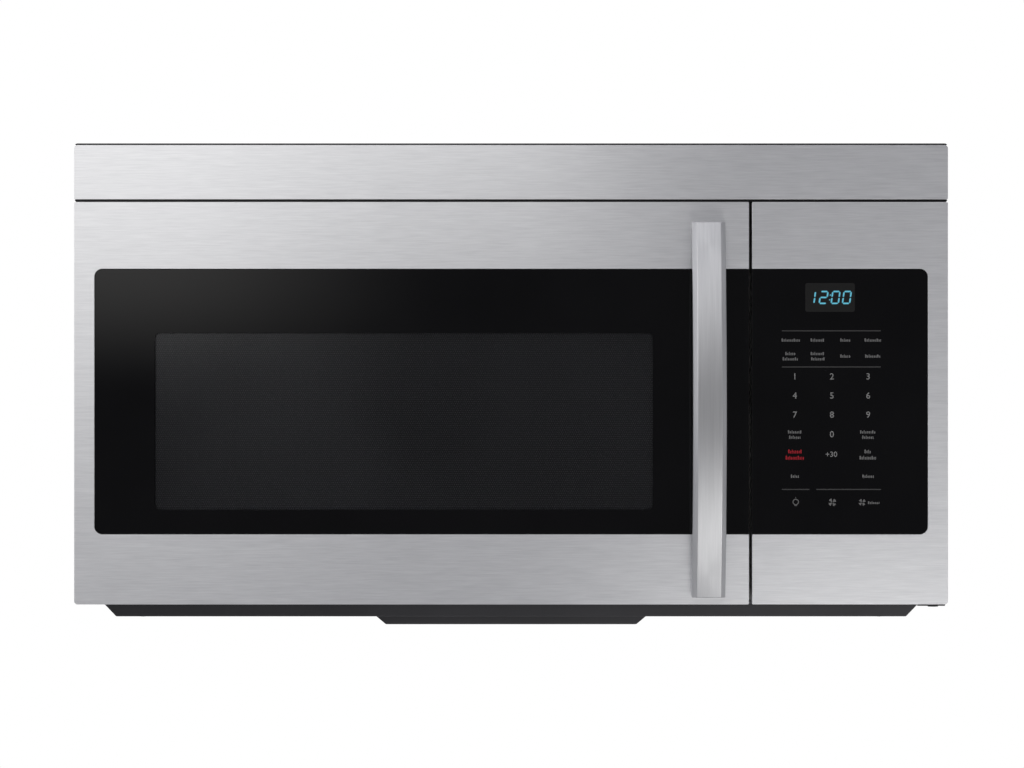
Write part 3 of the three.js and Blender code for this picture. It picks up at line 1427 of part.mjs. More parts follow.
function blowerHousing() {
  const scrolls = [-1, 1].map((side) => {
    const limits = [side * scrollStart, side * (scrollStart + scrollWidth)].sort((a, b) => a - b);
    const inside = [limits[0] + scrollSheet, limits[1] - scrollSheet];
    const inletAt = side < 0 ? [limits[0] - 1, inside[0] + 1] : [inside[1] - 1, limits[1] + 1];
    const shaftAt = side < 0 ? [inside[1] - 1, limits[1] + 1] : [limits[0] - 1, inside[0] + 1];
    return cut(prism(scrollOutline(0), 'x', ...limits, 7),
      prism(scrollOutline(scrollSheet), 'x', ...inside, 7),
      rod('x', blowerInlet, ...inletAt, blowerY, blowerZ, 28),
      rod('x', blowerShaftRadius + blowerShaftHolePlay, ...shaftAt, blowerY, blowerZ, 12));
  });
  const low = blowerZ - scrollRadius;
  const bridgeTop = low + bridgeRise + bridgeSheet;
  const bridge = slab([-scrollStart - 1, scrollStart + 1],
    [blowerY - bridgeDepth / 2, blowerY + bridgeDepth / 2], [low + bridgeRise, bridgeTop]);
  const cradle = slab([-cradleSize / 2, cradleSize / 2], [blowerY - cradleSize / 2, blowerY + cradleSize / 2],
    [bridgeTop - weld, blowerZ - blowerMotorRadius - fit]);
  return join(...scrolls, bridge, cradle);
}

function blowerMotor() {
  const half = blowerMotorLength / 2;
  return cut(rod('x', blowerMotorRadius, -half, half, blowerY, blowerZ, 28),
    rod('x', blowerShaftRadius + blowerBearingPlay, -half - 1, half + 1, blowerY, blowerZ, 12));
}

// Two open wheels on one shaft, each with its hub disc beside the motor
function blowerWheels() {
  const near = scrollStart + scrollSheet + blowerWheelGap;
  const far = near + blowerWheelWidth;
  const shaftEnd = near + blowerShaftBeyond;
  const shaft = rod('x', blowerShaftRadius, -shaftEnd, shaftEnd, 0, 0, 12);
  const wheels = [-1, 1].flatMap((side) => {
    const span = (a, b) => [side * a, side * b].sort((p, q) => p - q);
    const disc = rod('x', blowerWheelRadius, ...span(near, near + blowerDiscThickness), 0, 0, 28);
    const ring = cut(rod('x', blowerWheelRadius, ...span(far - blowerRingThickness, far), 0, 0, 28),
      rod('x', blowerWheelRadius - blowerRingWidth,
        ...span(far - blowerRingThickness - 1, far + 1), 0, 0, 28));
    const blades = Array.from({ length: blowerBlades }, (_, i) => {
      const length = span(near + blowerDiscThickness - weld, far - blowerRingThickness + weld);
      const outer = blowerWheelRadius - blowerBladeInset;
      return slab(length, [-blowerBladeThickness / 2, blowerBladeThickness / 2],
        [outer - blowerBladeDepth, outer])
        .rotateX((i + 0.5) * 2 * Math.PI / blowerBlades);
    });
    return [disc, ring, ...blades];
  });
  return join(shaft, ...wheels);
}

function airDuct() {
  const half = scrollStart + scrollWidth + ductMargin;
  const x = [-half, half];
  const y = [cabinetFront + fit, outletEnd - fit];
  const z = [ceiling - fit - ductHeight, ceiling - fit];
  return cut(slab(x, y, z), slab([x[0] + ovenSheet, x[1] - ovenSheet], [y[0] - 1, y[1] + 1],
    [z[0] + ovenSheet, z[1] - ovenSheet]));
}

add('blower_housing', blowerHousing(), 'zinc');
add('blower_motor', blowerMotor(), 'zinc');
const blowerPlace = new THREE.Group();
blowerPlace.position.set(0, blowerY, blowerZ);
appliance.add(blowerPlace);
add('blower_wheels', blowerWheels(), 'aluminium', blowerPlace);
add('air_duct', airDuct(), 'zinc');

// ---------------------------------------------------------------- control panel

const glassRight = faceRight - glassMargin - fit;
const displayX = glassRight - displayInset;
const panelFoldLeft = controlLeft + faceSheet + fit;
const panelFoldRight = faceRight - faceSheet - fit;
const housingFront = glassBack + fit;
const boardFront = housingFront + housingSheet + boardGap;
const boardX = (controlLeft + faceRight) / 2;
const displayZ = glassTop - displayDrop;
const boardZ = doorHeight / 2;
const panelScrewX = faceRight - panelScrewInset;
const panelScrewY = faceFront + panelScrewSetback;

function controlFrame() {
  const back = faceFront + faceDepth;
  const skin = prism(
    roundedRectangle([controlLeft, faceRight], [0, doorHeight],
      { bl: innerRadius, br: outlineRadius, tr: innerRadius, tl: innerRadius }),
    'y', faceFront, back);
  const pocket = slab([controlLeft + faceSheet, faceRight - faceSheet], [faceFront + faceSheet, back + 1],
    [faceSheet, doorHeight - faceSheet]);
  const glassHole = prism(
    roundedRectangle([controlLeft - 1, faceRight - glassMargin], [glassBottom, glassTop],
      { br: glassRadius, tr: glassRadius }),
    'y', faceFront - 1, glassBack + fit);
  const screwHole = rod('z', panelScrewShank + fit, -1, faceSheet + 1, panelScrewX, panelScrewY, 12);
  return cut(skin, pocket, glassHole, screwHole);
}

function controlGlass() {
  return prism(
    roundedRectangle([controlLeft, glassRight], [glassBottom + fit, glassTop - fit],
      { br: glassRadius - fit, tr: glassRadius - fit }),
    'y', faceFront + glassRecess, glassBack);
}

function displayLimits(margin) {
  return {
    x: [displayX - displayWidth / 2 - margin, displayX + displayWidth / 2 + margin],
    z: [displayZ - displayHeight / 2 - margin, displayZ + displayHeight / 2 + margin],
  };
}

function displayModule() {
  const { x, z } = displayLimits(moduleBezel);
  const box = slab(x, [housingFront, boardFront - fit], z);
  const bezel = displayLimits(0);
  return cut(box, slab(bezel.x, [housingFront - 1, housingFront + bezelDepth], bezel.z));
}

function controlHousing() {
  const x = [panelFoldLeft, panelFoldRight];
  const z = [faceSheet + fit, doorHeight - faceSheet - fit];
  const back = cabinetFront - fit;
  const box = slab(x, [housingFront, back], z);
  const inside = slab([x[0] + housingSheet, x[1] - housingSheet], [housingFront + housingSheet, back + 1],
    [z[0] + housingSheet, z[1] - housingSheet]);
  const hole = displayLimits(moduleBezel + fit);
  const screwHole = rod('z', panelScrewShank + fit, 0, z[0] + housingSheet + 1, panelScrewX, panelScrewY, 12);
  const posts = [-1, 1].flatMap((sideX) => [-1, 1].map((sideZ) => rod('y', boardPostRadius,
    housingFront + housingSheet - weld, boardFront - fit,
    boardX + sideX * (boardWidth / 2 - boardPostInset),
    boardZ + sideZ * (boardHeight / 2 - boardPostInset), 8)));
  return join(cut(box, inside, slab(hole.x, [housingFront - 1, housingFront + housingSheet + 1], hole.z),
    screwHole), ...posts);
}

function controlBoard() {
  const back = boardFront + boardThickness;
  const plate = slab([boardX - boardWidth / 2, boardX + boardWidth / 2], [boardFront, back],
    [boardZ - boardHeight / 2, boardZ + boardHeight / 2]);
  const parts = boardParts.map(({ x, z, width, height, depth }) => slab(
    [boardX + x - width / 2, boardX + x + width / 2], [back - weld, back + depth],
    [boardZ + z - height / 2, boardZ + z + height / 2]));
  return join(plate, ...parts);
}

function panelScrew() {
  const head = rod('z', panelScrewRadius, -fit - panelScrewHeight, -fit, panelScrewX, panelScrewY, 16);
  const shank = rod('z', panelScrewShank, -fit - weld, faceSheet + fit + housingSheet + panelScrewEnd,
    panelScrewX, panelScrewY, 12);
  return join(head, shank);
}

add('control_frame', controlFrame(), 'brushedSteel');
add('control_glass', controlGlass(), 'blackGlass');
add('display_module', displayModule(), 'blackPlastic');
add('control_housing', controlHousing(), 'blackPlastic');
add('control_board', controlBoard(), 'board');
add('panel_screw', panelScrew(), 'zinc');

appliance.position.z = -wallMountHeight;
const group = new THREE.Group();
group.add(appliance);

export default group;
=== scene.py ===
# Over-the-range microwave oven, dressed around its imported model.
# Metres, in the model's own frame: the wall is the plane y = 0, the front looks along -Y, +Z is up.
import json
import math

import bmesh
import bpy
from mathutils import Matrix, Vector


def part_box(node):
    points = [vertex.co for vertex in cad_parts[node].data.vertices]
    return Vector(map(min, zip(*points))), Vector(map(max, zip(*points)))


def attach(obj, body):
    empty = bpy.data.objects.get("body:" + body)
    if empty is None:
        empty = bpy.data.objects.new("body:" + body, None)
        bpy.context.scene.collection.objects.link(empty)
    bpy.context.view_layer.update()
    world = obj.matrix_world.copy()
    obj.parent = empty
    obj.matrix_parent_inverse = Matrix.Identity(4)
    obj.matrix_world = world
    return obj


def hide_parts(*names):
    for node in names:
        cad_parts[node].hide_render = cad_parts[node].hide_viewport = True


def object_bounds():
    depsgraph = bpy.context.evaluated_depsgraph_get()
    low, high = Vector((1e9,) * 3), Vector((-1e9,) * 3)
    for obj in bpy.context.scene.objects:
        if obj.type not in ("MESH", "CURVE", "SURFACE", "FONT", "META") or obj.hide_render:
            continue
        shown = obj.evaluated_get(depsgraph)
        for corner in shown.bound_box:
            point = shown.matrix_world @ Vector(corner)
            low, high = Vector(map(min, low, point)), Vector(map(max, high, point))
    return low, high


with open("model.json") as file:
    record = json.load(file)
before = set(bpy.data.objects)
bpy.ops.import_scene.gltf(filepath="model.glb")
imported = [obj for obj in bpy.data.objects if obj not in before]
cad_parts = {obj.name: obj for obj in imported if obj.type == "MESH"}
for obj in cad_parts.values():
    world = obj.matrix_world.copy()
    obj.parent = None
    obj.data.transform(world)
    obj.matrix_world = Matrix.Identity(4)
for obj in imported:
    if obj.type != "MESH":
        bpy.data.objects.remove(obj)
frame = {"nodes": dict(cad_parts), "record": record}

cad_low, cad_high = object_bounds()
nodes = frame["nodes"]
body_of = {
    node: body
    for body, members in frame["record"]["behaviour"]["bodies"].items()
    for node in members
}
MM = 0.001

# ---------------------------------------------------------------- camera

# Distance from the face and place across it
camera_distance = 4.2
camera_x = 0.0008
camera_z = -0.0085
camera_lens = 170.0

face_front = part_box("vent_trim")[0].y
camera = bpy.data.objects.new("camera", bpy.data.cameras.new("camera"))
camera.data.lens = camera_lens
camera.data.sensor_width = 36
camera.location = (camera_x, face_front - camera_distance, camera_z)
camera.rotation_euler = (math.radians(90), 0, 0)
bpy.context.scene.collection.objects.link(camera)
bpy.context.scene.camera = camera
bpy.context.scene.view_settings.view_transform = "Standard"

# ---------------------------------------------------------------- material graphs


class Graph:
    """Node tree of one material, with its place given in the object's own metres."""

    def __init__(self, name, roughness=0.5, metallic=0.0):
        self.material = bpy.data.materials.new(name)
        self.material.use_nodes = True
        self.tree = self.material.node_tree
        self.shader = self.tree.nodes["Principled BSDF"]
        self.shader.inputs["Roughness"].default_value = roughness
        self.shader.inputs["Metallic"].default_value = metallic
        self.place = self.node("ShaderNodeTexCoord").outputs["Object"]

    def node(self, kind, inputs=None, **settings):
        made = self.tree.nodes.new(kind)
        for key, value in settings.items():
            setattr(made, key, value)
        for key, value in (inputs or {}).items():
            if isinstance(value, bpy.types.NodeSocket):
                self.tree.links.new(value, made.inputs[key])
            else:
                made.inputs[key].default_value = value
        return made

    def set(self, **values):
        for key, value in values.items():
            socket = self.shader.inputs[key.replace("_", " ")]
            if isinstance(value, bpy.types.NodeSocket):
                self.tree.links.new(value, socket)
            else:
                socket.default_value = value

    def scaled(self, scale):
        mapping = self.node("ShaderNodeMapping", {"Vector": self.place, "Scale": scale})
        return mapping.outputs["Vector"]

    def noise(self, scale, detail=3.0, roughness=0.55):
        """Noise with so many waves per metre along each axis."""
        sizes = (scale,) * 3 if isinstance(scale, (int, float)) else scale
        made = self.node("ShaderNodeTexNoise", {
            "Vector": self.scaled(sizes), "Scale": 1.0, "Detail": detail, "Roughness": roughness})
        return made.outputs["Fac"]

    def span(self, value, low, high, start=0.3, end=0.7):
        """The value between start and end brought to between low and high."""
        made = self.node("ShaderNodeMapRange", {
            "Value": value, "From Min": start, "From Max": end, "To Min": low, "To Max": high})
        return made.outputs["Result"]

    def mix(self, factor, low, high):
        made = self.node("ShaderNodeMix", data_type="RGBA")
        for index, value in ((0, factor), (6, low), (7, high)):
            if isinstance(value, bpy.types.NodeSocket):
                self.tree.links.new(value, made.inputs[index])
            elif index:
                made.inputs[index].default_value = (*value, 1)
            else:
                made.inputs[index].default_value = value
        return made.outputs[2]

    def math(self, operation, a, b=0.0):
        made = self.node("ShaderNodeMath", operation=operation)
        for index, value in ((0, a), (1, b)):
            if isinstance(value, bpy.types.NodeSocket):
                self.tree.links.new(value, made.inputs[index])
            else:
                made.inputs[index].default_value = value
        return made.outputs[0]

    def bump(self, height, distance, strength=1.0):
        made = self.node("ShaderNodeBump", {
            "Height": height, "Distance": distance, "Strength": strength})
        self.set(Normal=made.outputs["Normal"])

    def rounded_mask(self, centre, half, radius):
        """1 inside a rounded rectangle in the XZ plane, 0 outside."""
        axes = self.node("ShaderNodeSeparateXYZ", {"Vector": self.place})
        sides = []
        for axis, middle, reach in (("X", centre[0], half[0]), ("Z", centre[1], half[1])):
            away = self.math("ABSOLUTE", self.math("SUBTRACT", axes.outputs[axis], middle))
            sides.append(self.math("MAXIMUM", self.math("SUBTRACT", away, reach - radius)))
        squares = [self.math("MULTIPLY", side, side) for side in sides]
        corner = self.math("SQRT", self.math("ADD", *squares))
        return self.math("LESS_THAN", corner, radius)


def grey(level, tint=0.0):
    """A grey as a linear colour, bluer by its tint."""
    return (level * (1 - tint / 2), level, level * (1 + tint))


# Brushed steel: lighter and darker lines, and how fine and broad ones are mixed
brush_contrast = 0.08
fine_share = 0.7
broad_scale = 0.4


def brushed(name, across, level=0.74, roughness=0.33, turn=0.25, stretch=0.8):
    """Brushed stainless steel. The scale is small along the brushing and large across it."""
    g = Graph(name, roughness, 1.0)
    fine = g.noise(across, 4.0, 0.6)
    broad = g.noise(tuple(value * broad_scale for value in across), 2.0)
    both = g.math(
        "ADD", g.math("MULTIPLY", fine, fine_share), g.math("MULTIPLY", broad, 1 - fine_share))
    dark = grey(level * (1 - brush_contrast), 0.025)
    light = grey(level * (1 + brush_contrast), 0.02)
    g.set(Base_Color=g.mix(g.span(both, 0, 1), dark, light))
    g.set(Roughness=g.span(both, roughness - 0.02, roughness + 0.02))
    g.set(Anisotropic=stretch, Anisotropic_Rotation=turn)
    g.bump(fine, distance=0.00002, strength=0.15)
    return g.material


def painted(name, colour, roughness, grain=900, depth=0.00004, sheen=0.35):
    """Satin or textured paint, with a soft orange-peel surface."""
    g = Graph(name, roughness)
    peel = g.noise(grain, 2.0)
    wide = g.noise(9, 2.0)
    low = tuple(value * 0.88 for value in colour)
    high = tuple(value * 1.12 for value in colour)
    g.set(Base_Color=g.mix(g.span(wide, 0, 1), low, high))
    g.set(Roughness=g.span(peel, roughness - 0.06, roughness + 0.06))
    g.set(Specular_IOR_Level=sheen)
    g.bump(peel, depth, strength=0.5)
    return g.material


def zinc():
    """Zinc-coated sheet, with its faint spangle."""
    g = Graph("zinc_steel", 0.42, 1.0)
    spangle = g.node("ShaderNodeTexVoronoi", {"Vector": g.scaled((210, 210, 210)), "Scale": 1.0})
    cell = g.node("ShaderNodeSeparateColor", {"Color": spangle.outputs["Color"]}).outputs[0]
    g.set(Base_Color=g.mix(g.span(cell, 0, 1, 0, 1), grey(0.46, 0.02), grey(0.52, 0.03)))
    g.set(Roughness=g.span(cell, 0.36, 0.5, 0, 1))
    return g.material


def satin_metal(name, colour, roughness):
    """Matt metal with a fine grain."""
    g = Graph(name, roughness, 1.0)
    grain = g.noise(450, 3.0)
    low = tuple(value * 0.9 for value in colour)
    g.set(Base_Color=g.mix(g.span(grain, 0, 1), low, colour))
    g.set(Roughness=g.span(grain, roughness - 0.07, roughness + 0.07))
    g.bump(grain, distance=0.00003, strength=0.3)
    return g.material


def plastic(name, colour, roughness, sheen=0.4):
    """Fine moulded plastic."""
    return painted(name, colour, roughness, 1600, 0.00002, sheen)


def black_glass(name, window=None):
    """Glass printed black behind. Inside its window it is only tinted."""
    g = Graph(name, 0.06)
    smear = g.noise(14, 3.0)
    g.set(Base_Color=g.mix(g.span(smear, 0, 1), (0.0012, 0.0012, 0.0017), (0.0022, 0.0022, 0.0028)))
    g.set(Roughness=g.span(smear, 0.05, 0.09))
    g.set(Specular_IOR_Level=0.28)
    if window:
        inside = g.rounded_mask(*window)
        g.set(Alpha=g.span(inside, 1.0, 0.42, 0, 1))
    return g.material


def perforated(name, pitch, hole):
    """Black screen with round holes in staggered rows, pitch and hole radius in metres."""
    g = Graph(name, 0.35, 1.0)
    axes = g.node("ShaderNodeSeparateXYZ", {"Vector": g.place})
    row = g.math("FLOOR", g.math("DIVIDE", axes.outputs["Z"], pitch))
    odd = g.math("MULTIPLY", g.math("MODULO", g.math("ABSOLUTE", row), 2.0), pitch / 2)
    shares = []
    for value in (g.math("ADD", axes.outputs["X"], odd), axes.outputs["Z"]):
        wrapped = g.math("WRAP", value, 0.0)
        wrapped.node.inputs[1].default_value = pitch
        wrapped.node.inputs[2].default_value = 0.0
        shares.append(g.math("SUBTRACT", wrapped, pitch / 2))
    squares = [g.math("MULTIPLY", share, share) for share in shares]
    away = g.math("SQRT", g.math("ADD", *squares))
    solid = g.math("GREATER_THAN", away, hole)
    tone = g.noise(6, 2.0)
    g.set(Base_Color=g.mix(g.span(tone, 0, 1), grey(0.42, 0.05), grey(0.5, 0.05)))
    g.set(Alpha=solid, Roughness=g.span(tone, 0.22, 0.27))
    return g.material


def clear_glass(name, colour, alpha):
    """Thin clear pane with a faint film on it."""
    g = Graph(name, 0.03)
    film = g.noise(20, 2.0)
    g.set(Base_Color=g.mix(g.span(film, 0, 1), colour, tuple(min(1, value * 1.05) for value in colour)))
    g.set(Roughness=g.span(film, 0.02, 0.06))
    g.set(Alpha=alpha)
    return g.material


def tray_glass():
    """Thick pressed glass, slightly green."""
    g = Graph("tray_glass", 0.04)
    film = g.noise(25, 2.0)
    g.set(Base_Color=g.mix(g.span(film, 0, 1), (0.78, 0.88, 0.85), (0.86, 0.93, 0.91)))
    g.set(Roughness=g.span(film, 0.03, 0.07))
    g.set(Transmission_Weight=0.85, IOR=1.48)
    return g.material


def enamel():
    """Grey speckled oven enamel."""
    g = Graph("cavity_enamel", 0.3)
    speck = g.node("ShaderNodeTexVoronoi", {"Vector": g.scaled((420, 420, 420)), "Scale": 1.0})
    dots = g.span(speck.outputs["Distance"], 1, 0, 0.12, 0.3)
    tone = g.noise(8, 2.0)
    base = g.mix(g.span(tone, 0, 1), (0.36, 0.36, 0.345), (0.42, 0.42, 0.4))
    g.set(Base_Color=g.mix(g.math("MULTIPLY", dots, 0.45), base, (0.13, 0.13, 0.13)))
    g.set(Roughness=g.span(tone, 0.27, 0.36))
    g.bump(g.noise(300, 2.0), distance=0.00003, strength=0.4)
    return g.material


def copper_coils():
    """Windings: fine ridges one above the other."""
    g = Graph("copper_coils", 0.38, 1.0)
    turns = g.node("ShaderNodeTexWave", {
        "Vector": g.scaled((0, 0, 160)), "Scale": 1.0, "Distortion": 0.6}, bands_direction="Z")
    g.set(Base_Color=g.mix(turns.outputs["Fac"], (0.2, 0.07, 0.03), (0.58, 0.25, 0.11)))
    g.set(Roughness=g.span(turns.outputs["Fac"], 0.3, 0.5, 0, 1))
    g.bump(turns.outputs["Fac"], distance=0.0003, strength=0.6)
    return g.material


def circuit_board():
    """Green lacquered board with lighter tracks."""
    g = Graph("circuit_board", 0.45)
    tracks = g.node("ShaderNodeTexBrick", {
        "Vector": g.scaled((180, 180, 180)), "Scale": 1.0, "Color1": (0.015, 0.09, 0.03, 1),
        "Color2": (0.02, 0.12, 0.04, 1), "Mortar": (0.06, 0.22, 0.09, 1), "Mortar Size": 0.03})
    g.set(Base_Color=tracks.outputs["Color"])
    g.set(Roughness=g.span(g.noise(120), 0.38, 0.52))
    return g.material


def mica():
    """Flaky mineral sheet."""
    g = Graph("mica", 0.6)
    flakes = g.node("ShaderNodeTexVoronoi", {"Vector": g.scaled((260, 260, 260)), "Scale": 1.0})
    g.set(Base_Color=g.mix(flakes.outputs["Distance"], (0.5, 0.44, 0.33), (0.36, 0.31, 0.22)))
    g.bump(flakes.outputs["Distance"], distance=0.0001, strength=0.5)
    return g.material


def charcoal():
    """Rough black mat."""
    g = Graph("charcoal", 0.95)
    mat = g.noise(700, 4.0, 0.7)
    g.set(Base_Color=g.mix(g.span(mat, 0, 1), grey(0.006), grey(0.03)))
    g.bump(mat, distance=0.0012, strength=1.0)
    return g.material


def frosted():
    """Frosted lens of a lamp."""
    g = Graph("frosted_lens", 0.45)
    ribs = g.noise(500, 2.0)
    g.set(Base_Color=g.mix(g.span(ribs, 0, 1), (0.78, 0.78, 0.74), (0.88, 0.88, 0.84)))
    g.set(Transmission_Weight=0.55, IOR=1.48)
    g.bump(ribs, distance=0.0002, strength=0.6)
    return g.material


def printed(name, colour, glow=0.0):
    """Ink on the glass, or a lit segment."""
    g = Graph(name, 0.5)
    speck = g.noise(1500, 2.0)
    low = tuple(value * 0.8 for value in colour)
    shade = g.mix(g.span(speck, 0, 1), low, colour)
    g.set(Base_Color=shade, Specular_IOR_Level=0.2)
    if glow:
        g.set(Emission_Color=shade, Emission_Strength=glow)
    return g.material


window_low, window_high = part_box("window_screen")
window_radius = 5 * MM
well_margin = 10 * MM         # window well beyond the window
screen_gap = 0.3 * MM         # screen to the well's edge
screen_margin = well_margin - screen_gap
window_half = (
    (window_high.x - window_low.x) / 2 - screen_margin,
    (window_high.z - window_low.z) / 2 - screen_margin)
window_centre = (
    (window_high.x + window_low.x) / 2,
    (window_high.z + window_low.z) / 2)

finishes = {
    "brushed_steel": brushed("brushed_steel", across=(42, 90, 800)),
    # The handle's steel is a darker copy of the face steel: its lower level is painted shade on the
    # handle, and its brushing runs along it.
    "steel_upright_shaded": brushed(
        "brushed_steel_upright_shaded", across=(900, 90, 14), level=0.53, roughness=0.42, turn=0.0, stretch=0.3),
    "black_paint": painted("black_paint", (0.02, 0.02, 0.0215), roughness=0.42),
    "pan_paint": painted(
        "pan_paint", (0.043, 0.043, 0.047), roughness=0.45, grain=1200, depth=0.00006),
    "black_glass": black_glass("black_glass"),
    "door_glass": black_glass("door_glass", (window_centre, window_half, window_radius)),
    "black_plastic": plastic("black_plastic", (0.012, 0.012, 0.013), roughness=0.42),
    "zinc_steel": zinc(),
    "cavity_enamel": enamel(),
    "clear_glass": clear_glass("clear_glass", (0.8, 0.87, 0.86), alpha=0.16),
    "tray_glass": tray_glass(),
    "white_plastic": plastic("white_plastic", (0.72, 0.71, 0.67), roughness=0.45),
    "aluminium": satin_metal("aluminium", (0.62, 0.63, 0.64), roughness=0.38),
    # Dark grey aluminium for the filter's core: painted shade of the mesh's deeper layers.
    "aluminium_painted_shade": satin_metal("aluminium_painted_shade", (0.12, 0.12, 0.123), roughness=0.5),
    "copper": copper_coils(),
    "circuit_board": circuit_board(),
    "mica": mica(),
    "charcoal": charcoal(),
    "frosted_lens": frosted(),
    "screen": perforated("window_screen", pitch=1.9 * MM, hole=0.55 * MM),
    "ink": printed("ink", grey(0.24)),
    "ink_label": printed("ink_label", grey(0.16)),
    "ink_faint": printed("ink_faint", grey(0.055)),
    "ink_red": printed("ink_red", (0.36, 0.012, 0.022)),
    "display_tint": printed("display_tint", grey(0.009)),
    "display_lit": printed("display_lit", (0.12, 0.46, 0.6), glow=0.42),
}

# ---------------------------------------------------------------- dressed copies of the CAD pieces

weld_distance = 1e-6
flat_angle = 0.6              # degrees between faces that count as one
sharp_edge = 33               # degrees between faces that meet in an edge
sharp_shading = 38            # degrees that still show as an edge once it is rounded


def finish_mesh(mesh, degrees=sharp_edge):
    """Soft shading over shallow edges only."""
    mesh.shade_smooth()
    mesh.set_sharp_from_angle(angle=math.radians(degrees))


def place_piece(name, mesh, body, material):
    """The mesh as a piece that rides on a body, with the finish of its material."""
    piece = bpy.data.objects.new(name, mesh)
    bpy.context.scene.collection.objects.link(piece)
    mesh.materials.clear()
    mesh.materials.append(finishes[material])
    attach(piece, body)
    return piece


def welded(node):
    """The node's mesh with its vertices joined and its flat faces made whole."""
    mesh = nodes[node].data.copy()
    work = bmesh.new()
    work.from_mesh(mesh)
    bmesh.ops.remove_doubles(work, verts=work.verts, dist=weld_distance)
    bmesh.ops.dissolve_limit(
        work, angle_limit=math.radians(flat_angle), verts=work.verts, edges=work.edges)
    work.to_mesh(mesh)
    work.free()
    return mesh


def bake(piece):
    """Applies the piece's modifiers to its mesh."""
    graph = bpy.context.evaluated_depsgraph_get()
    made = bpy.data.meshes.new_from_object(piece.evaluated_get(graph))
    piece.modifiers.clear()
    piece.data = made


def built(name, work, body, material):
    """The mesh being built, as a piece."""
    mesh = bpy.data.meshes.new(name)
    work.to_mesh(mesh)
    work.free()
    return place_piece(name, mesh, body, material)


def bar(x, z, width, height, corners=3, radius=None):
    """Outline of a bar about a middle point, in millimetres, with so many steps in each corner.
    Its ends are fully round unless a radius is given."""
    if radius is None:
        radius = min(width, height) / 2
    points = []
    for quarter, (sx, sz) in enumerate(((1, 1), (-1, 1), (-1, -1), (1, -1))):
        for step in range(corners + 1):
            angle = math.radians(90) * (quarter + step / corners)
            points.append((
                (x + sx * (width / 2 - radius) + radius * math.cos(angle)) * MM,
                (z + sz * (height / 2 - radius) + radius * math.sin(angle)) * MM))
    return points


def add_prism(work, outline, front, back):
    """Closed prism between two places along Y, over an outline of (x, z) points in metres."""
    near = [work.verts.new((x, front, z)) for x, z in outline]
    far = [work.verts.new((x, back, z)) for x, z in outline]
    work.faces.new(near)
    work.faces.new(far[::-1])
    for i in range(len(near)):
        j = (i + 1) % len(near)
        work.faces.new((near[j], near[i], far[i], far[j]))


# Shapes pressed into the back plate, in millimetres but for depths
rib_length = 560
rib_width = 22
rib_heights = (-70, 15, 100)
seat_width = 12
back_screws = [(x, z) for x in (-362, 362) for z in (-185, 0, 184)]
back_screws += [(x, 184) for x in (-180, 180)]
pocket_depth = 0.9 * MM
cutter_start = 1 * MM         # behind the wall plane


def back_pockets():
    """What is pressed into the back plate: three long ribs and the seats of its screws."""
    outlines = [bar(0, z, rib_length, rib_width, corners=6) for z in rib_heights]
    outlines += [bar(x, z, seat_width, seat_width, corners=6) for x, z in back_screws]
    work = bmesh.new()
    for outline in outlines:
        add_prism(work, outline, cutter_start, -pocket_depth)
    bmesh.ops.recalc_face_normals(work, faces=work.faces)
    mesh = bpy.data.meshes.new("back_pockets")
    work.to_mesh(mesh)
    work.free()
    return bpy.data.objects.new("back_pockets", mesh)


def press_pockets(piece, material):
    """Cuts the pockets out of the back plate's copy."""
    cutter = back_pockets()
    bpy.context.scene.collection.objects.link(cutter)
    pressed = piece.modifiers.new("pressed_shapes", "BOOLEAN")
    pressed.operation = "DIFFERENCE"
    pressed.object = cutter
    bake(piece)
    piece.data.materials.clear()
    piece.data.materials.append(finishes[material])
    bpy.data.objects.remove(cutter)


def eased(node, material, width):
    """A copy of a CAD piece with its edges rounded, in the piece's place."""
    piece = place_piece(f"{node}_eased", welded(node), body_of[node], material)
    if node == "back_plate":
        press_pockets(piece, material)
    bevel = piece.modifiers.new("edges", "BEVEL")
    bevel.width = width
    bevel.segments = 2
    bevel.limit_method = "ANGLE"
    bevel.angle_limit = math.radians(sharp_edge)
    bake(piece)
    finish_mesh(piece.data, sharp_shading)
    piece.modifiers.new("flat_faces_stay_flat", "WEIGHTED_NORMAL").keep_sharp = True
    bake(piece)
    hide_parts(node)


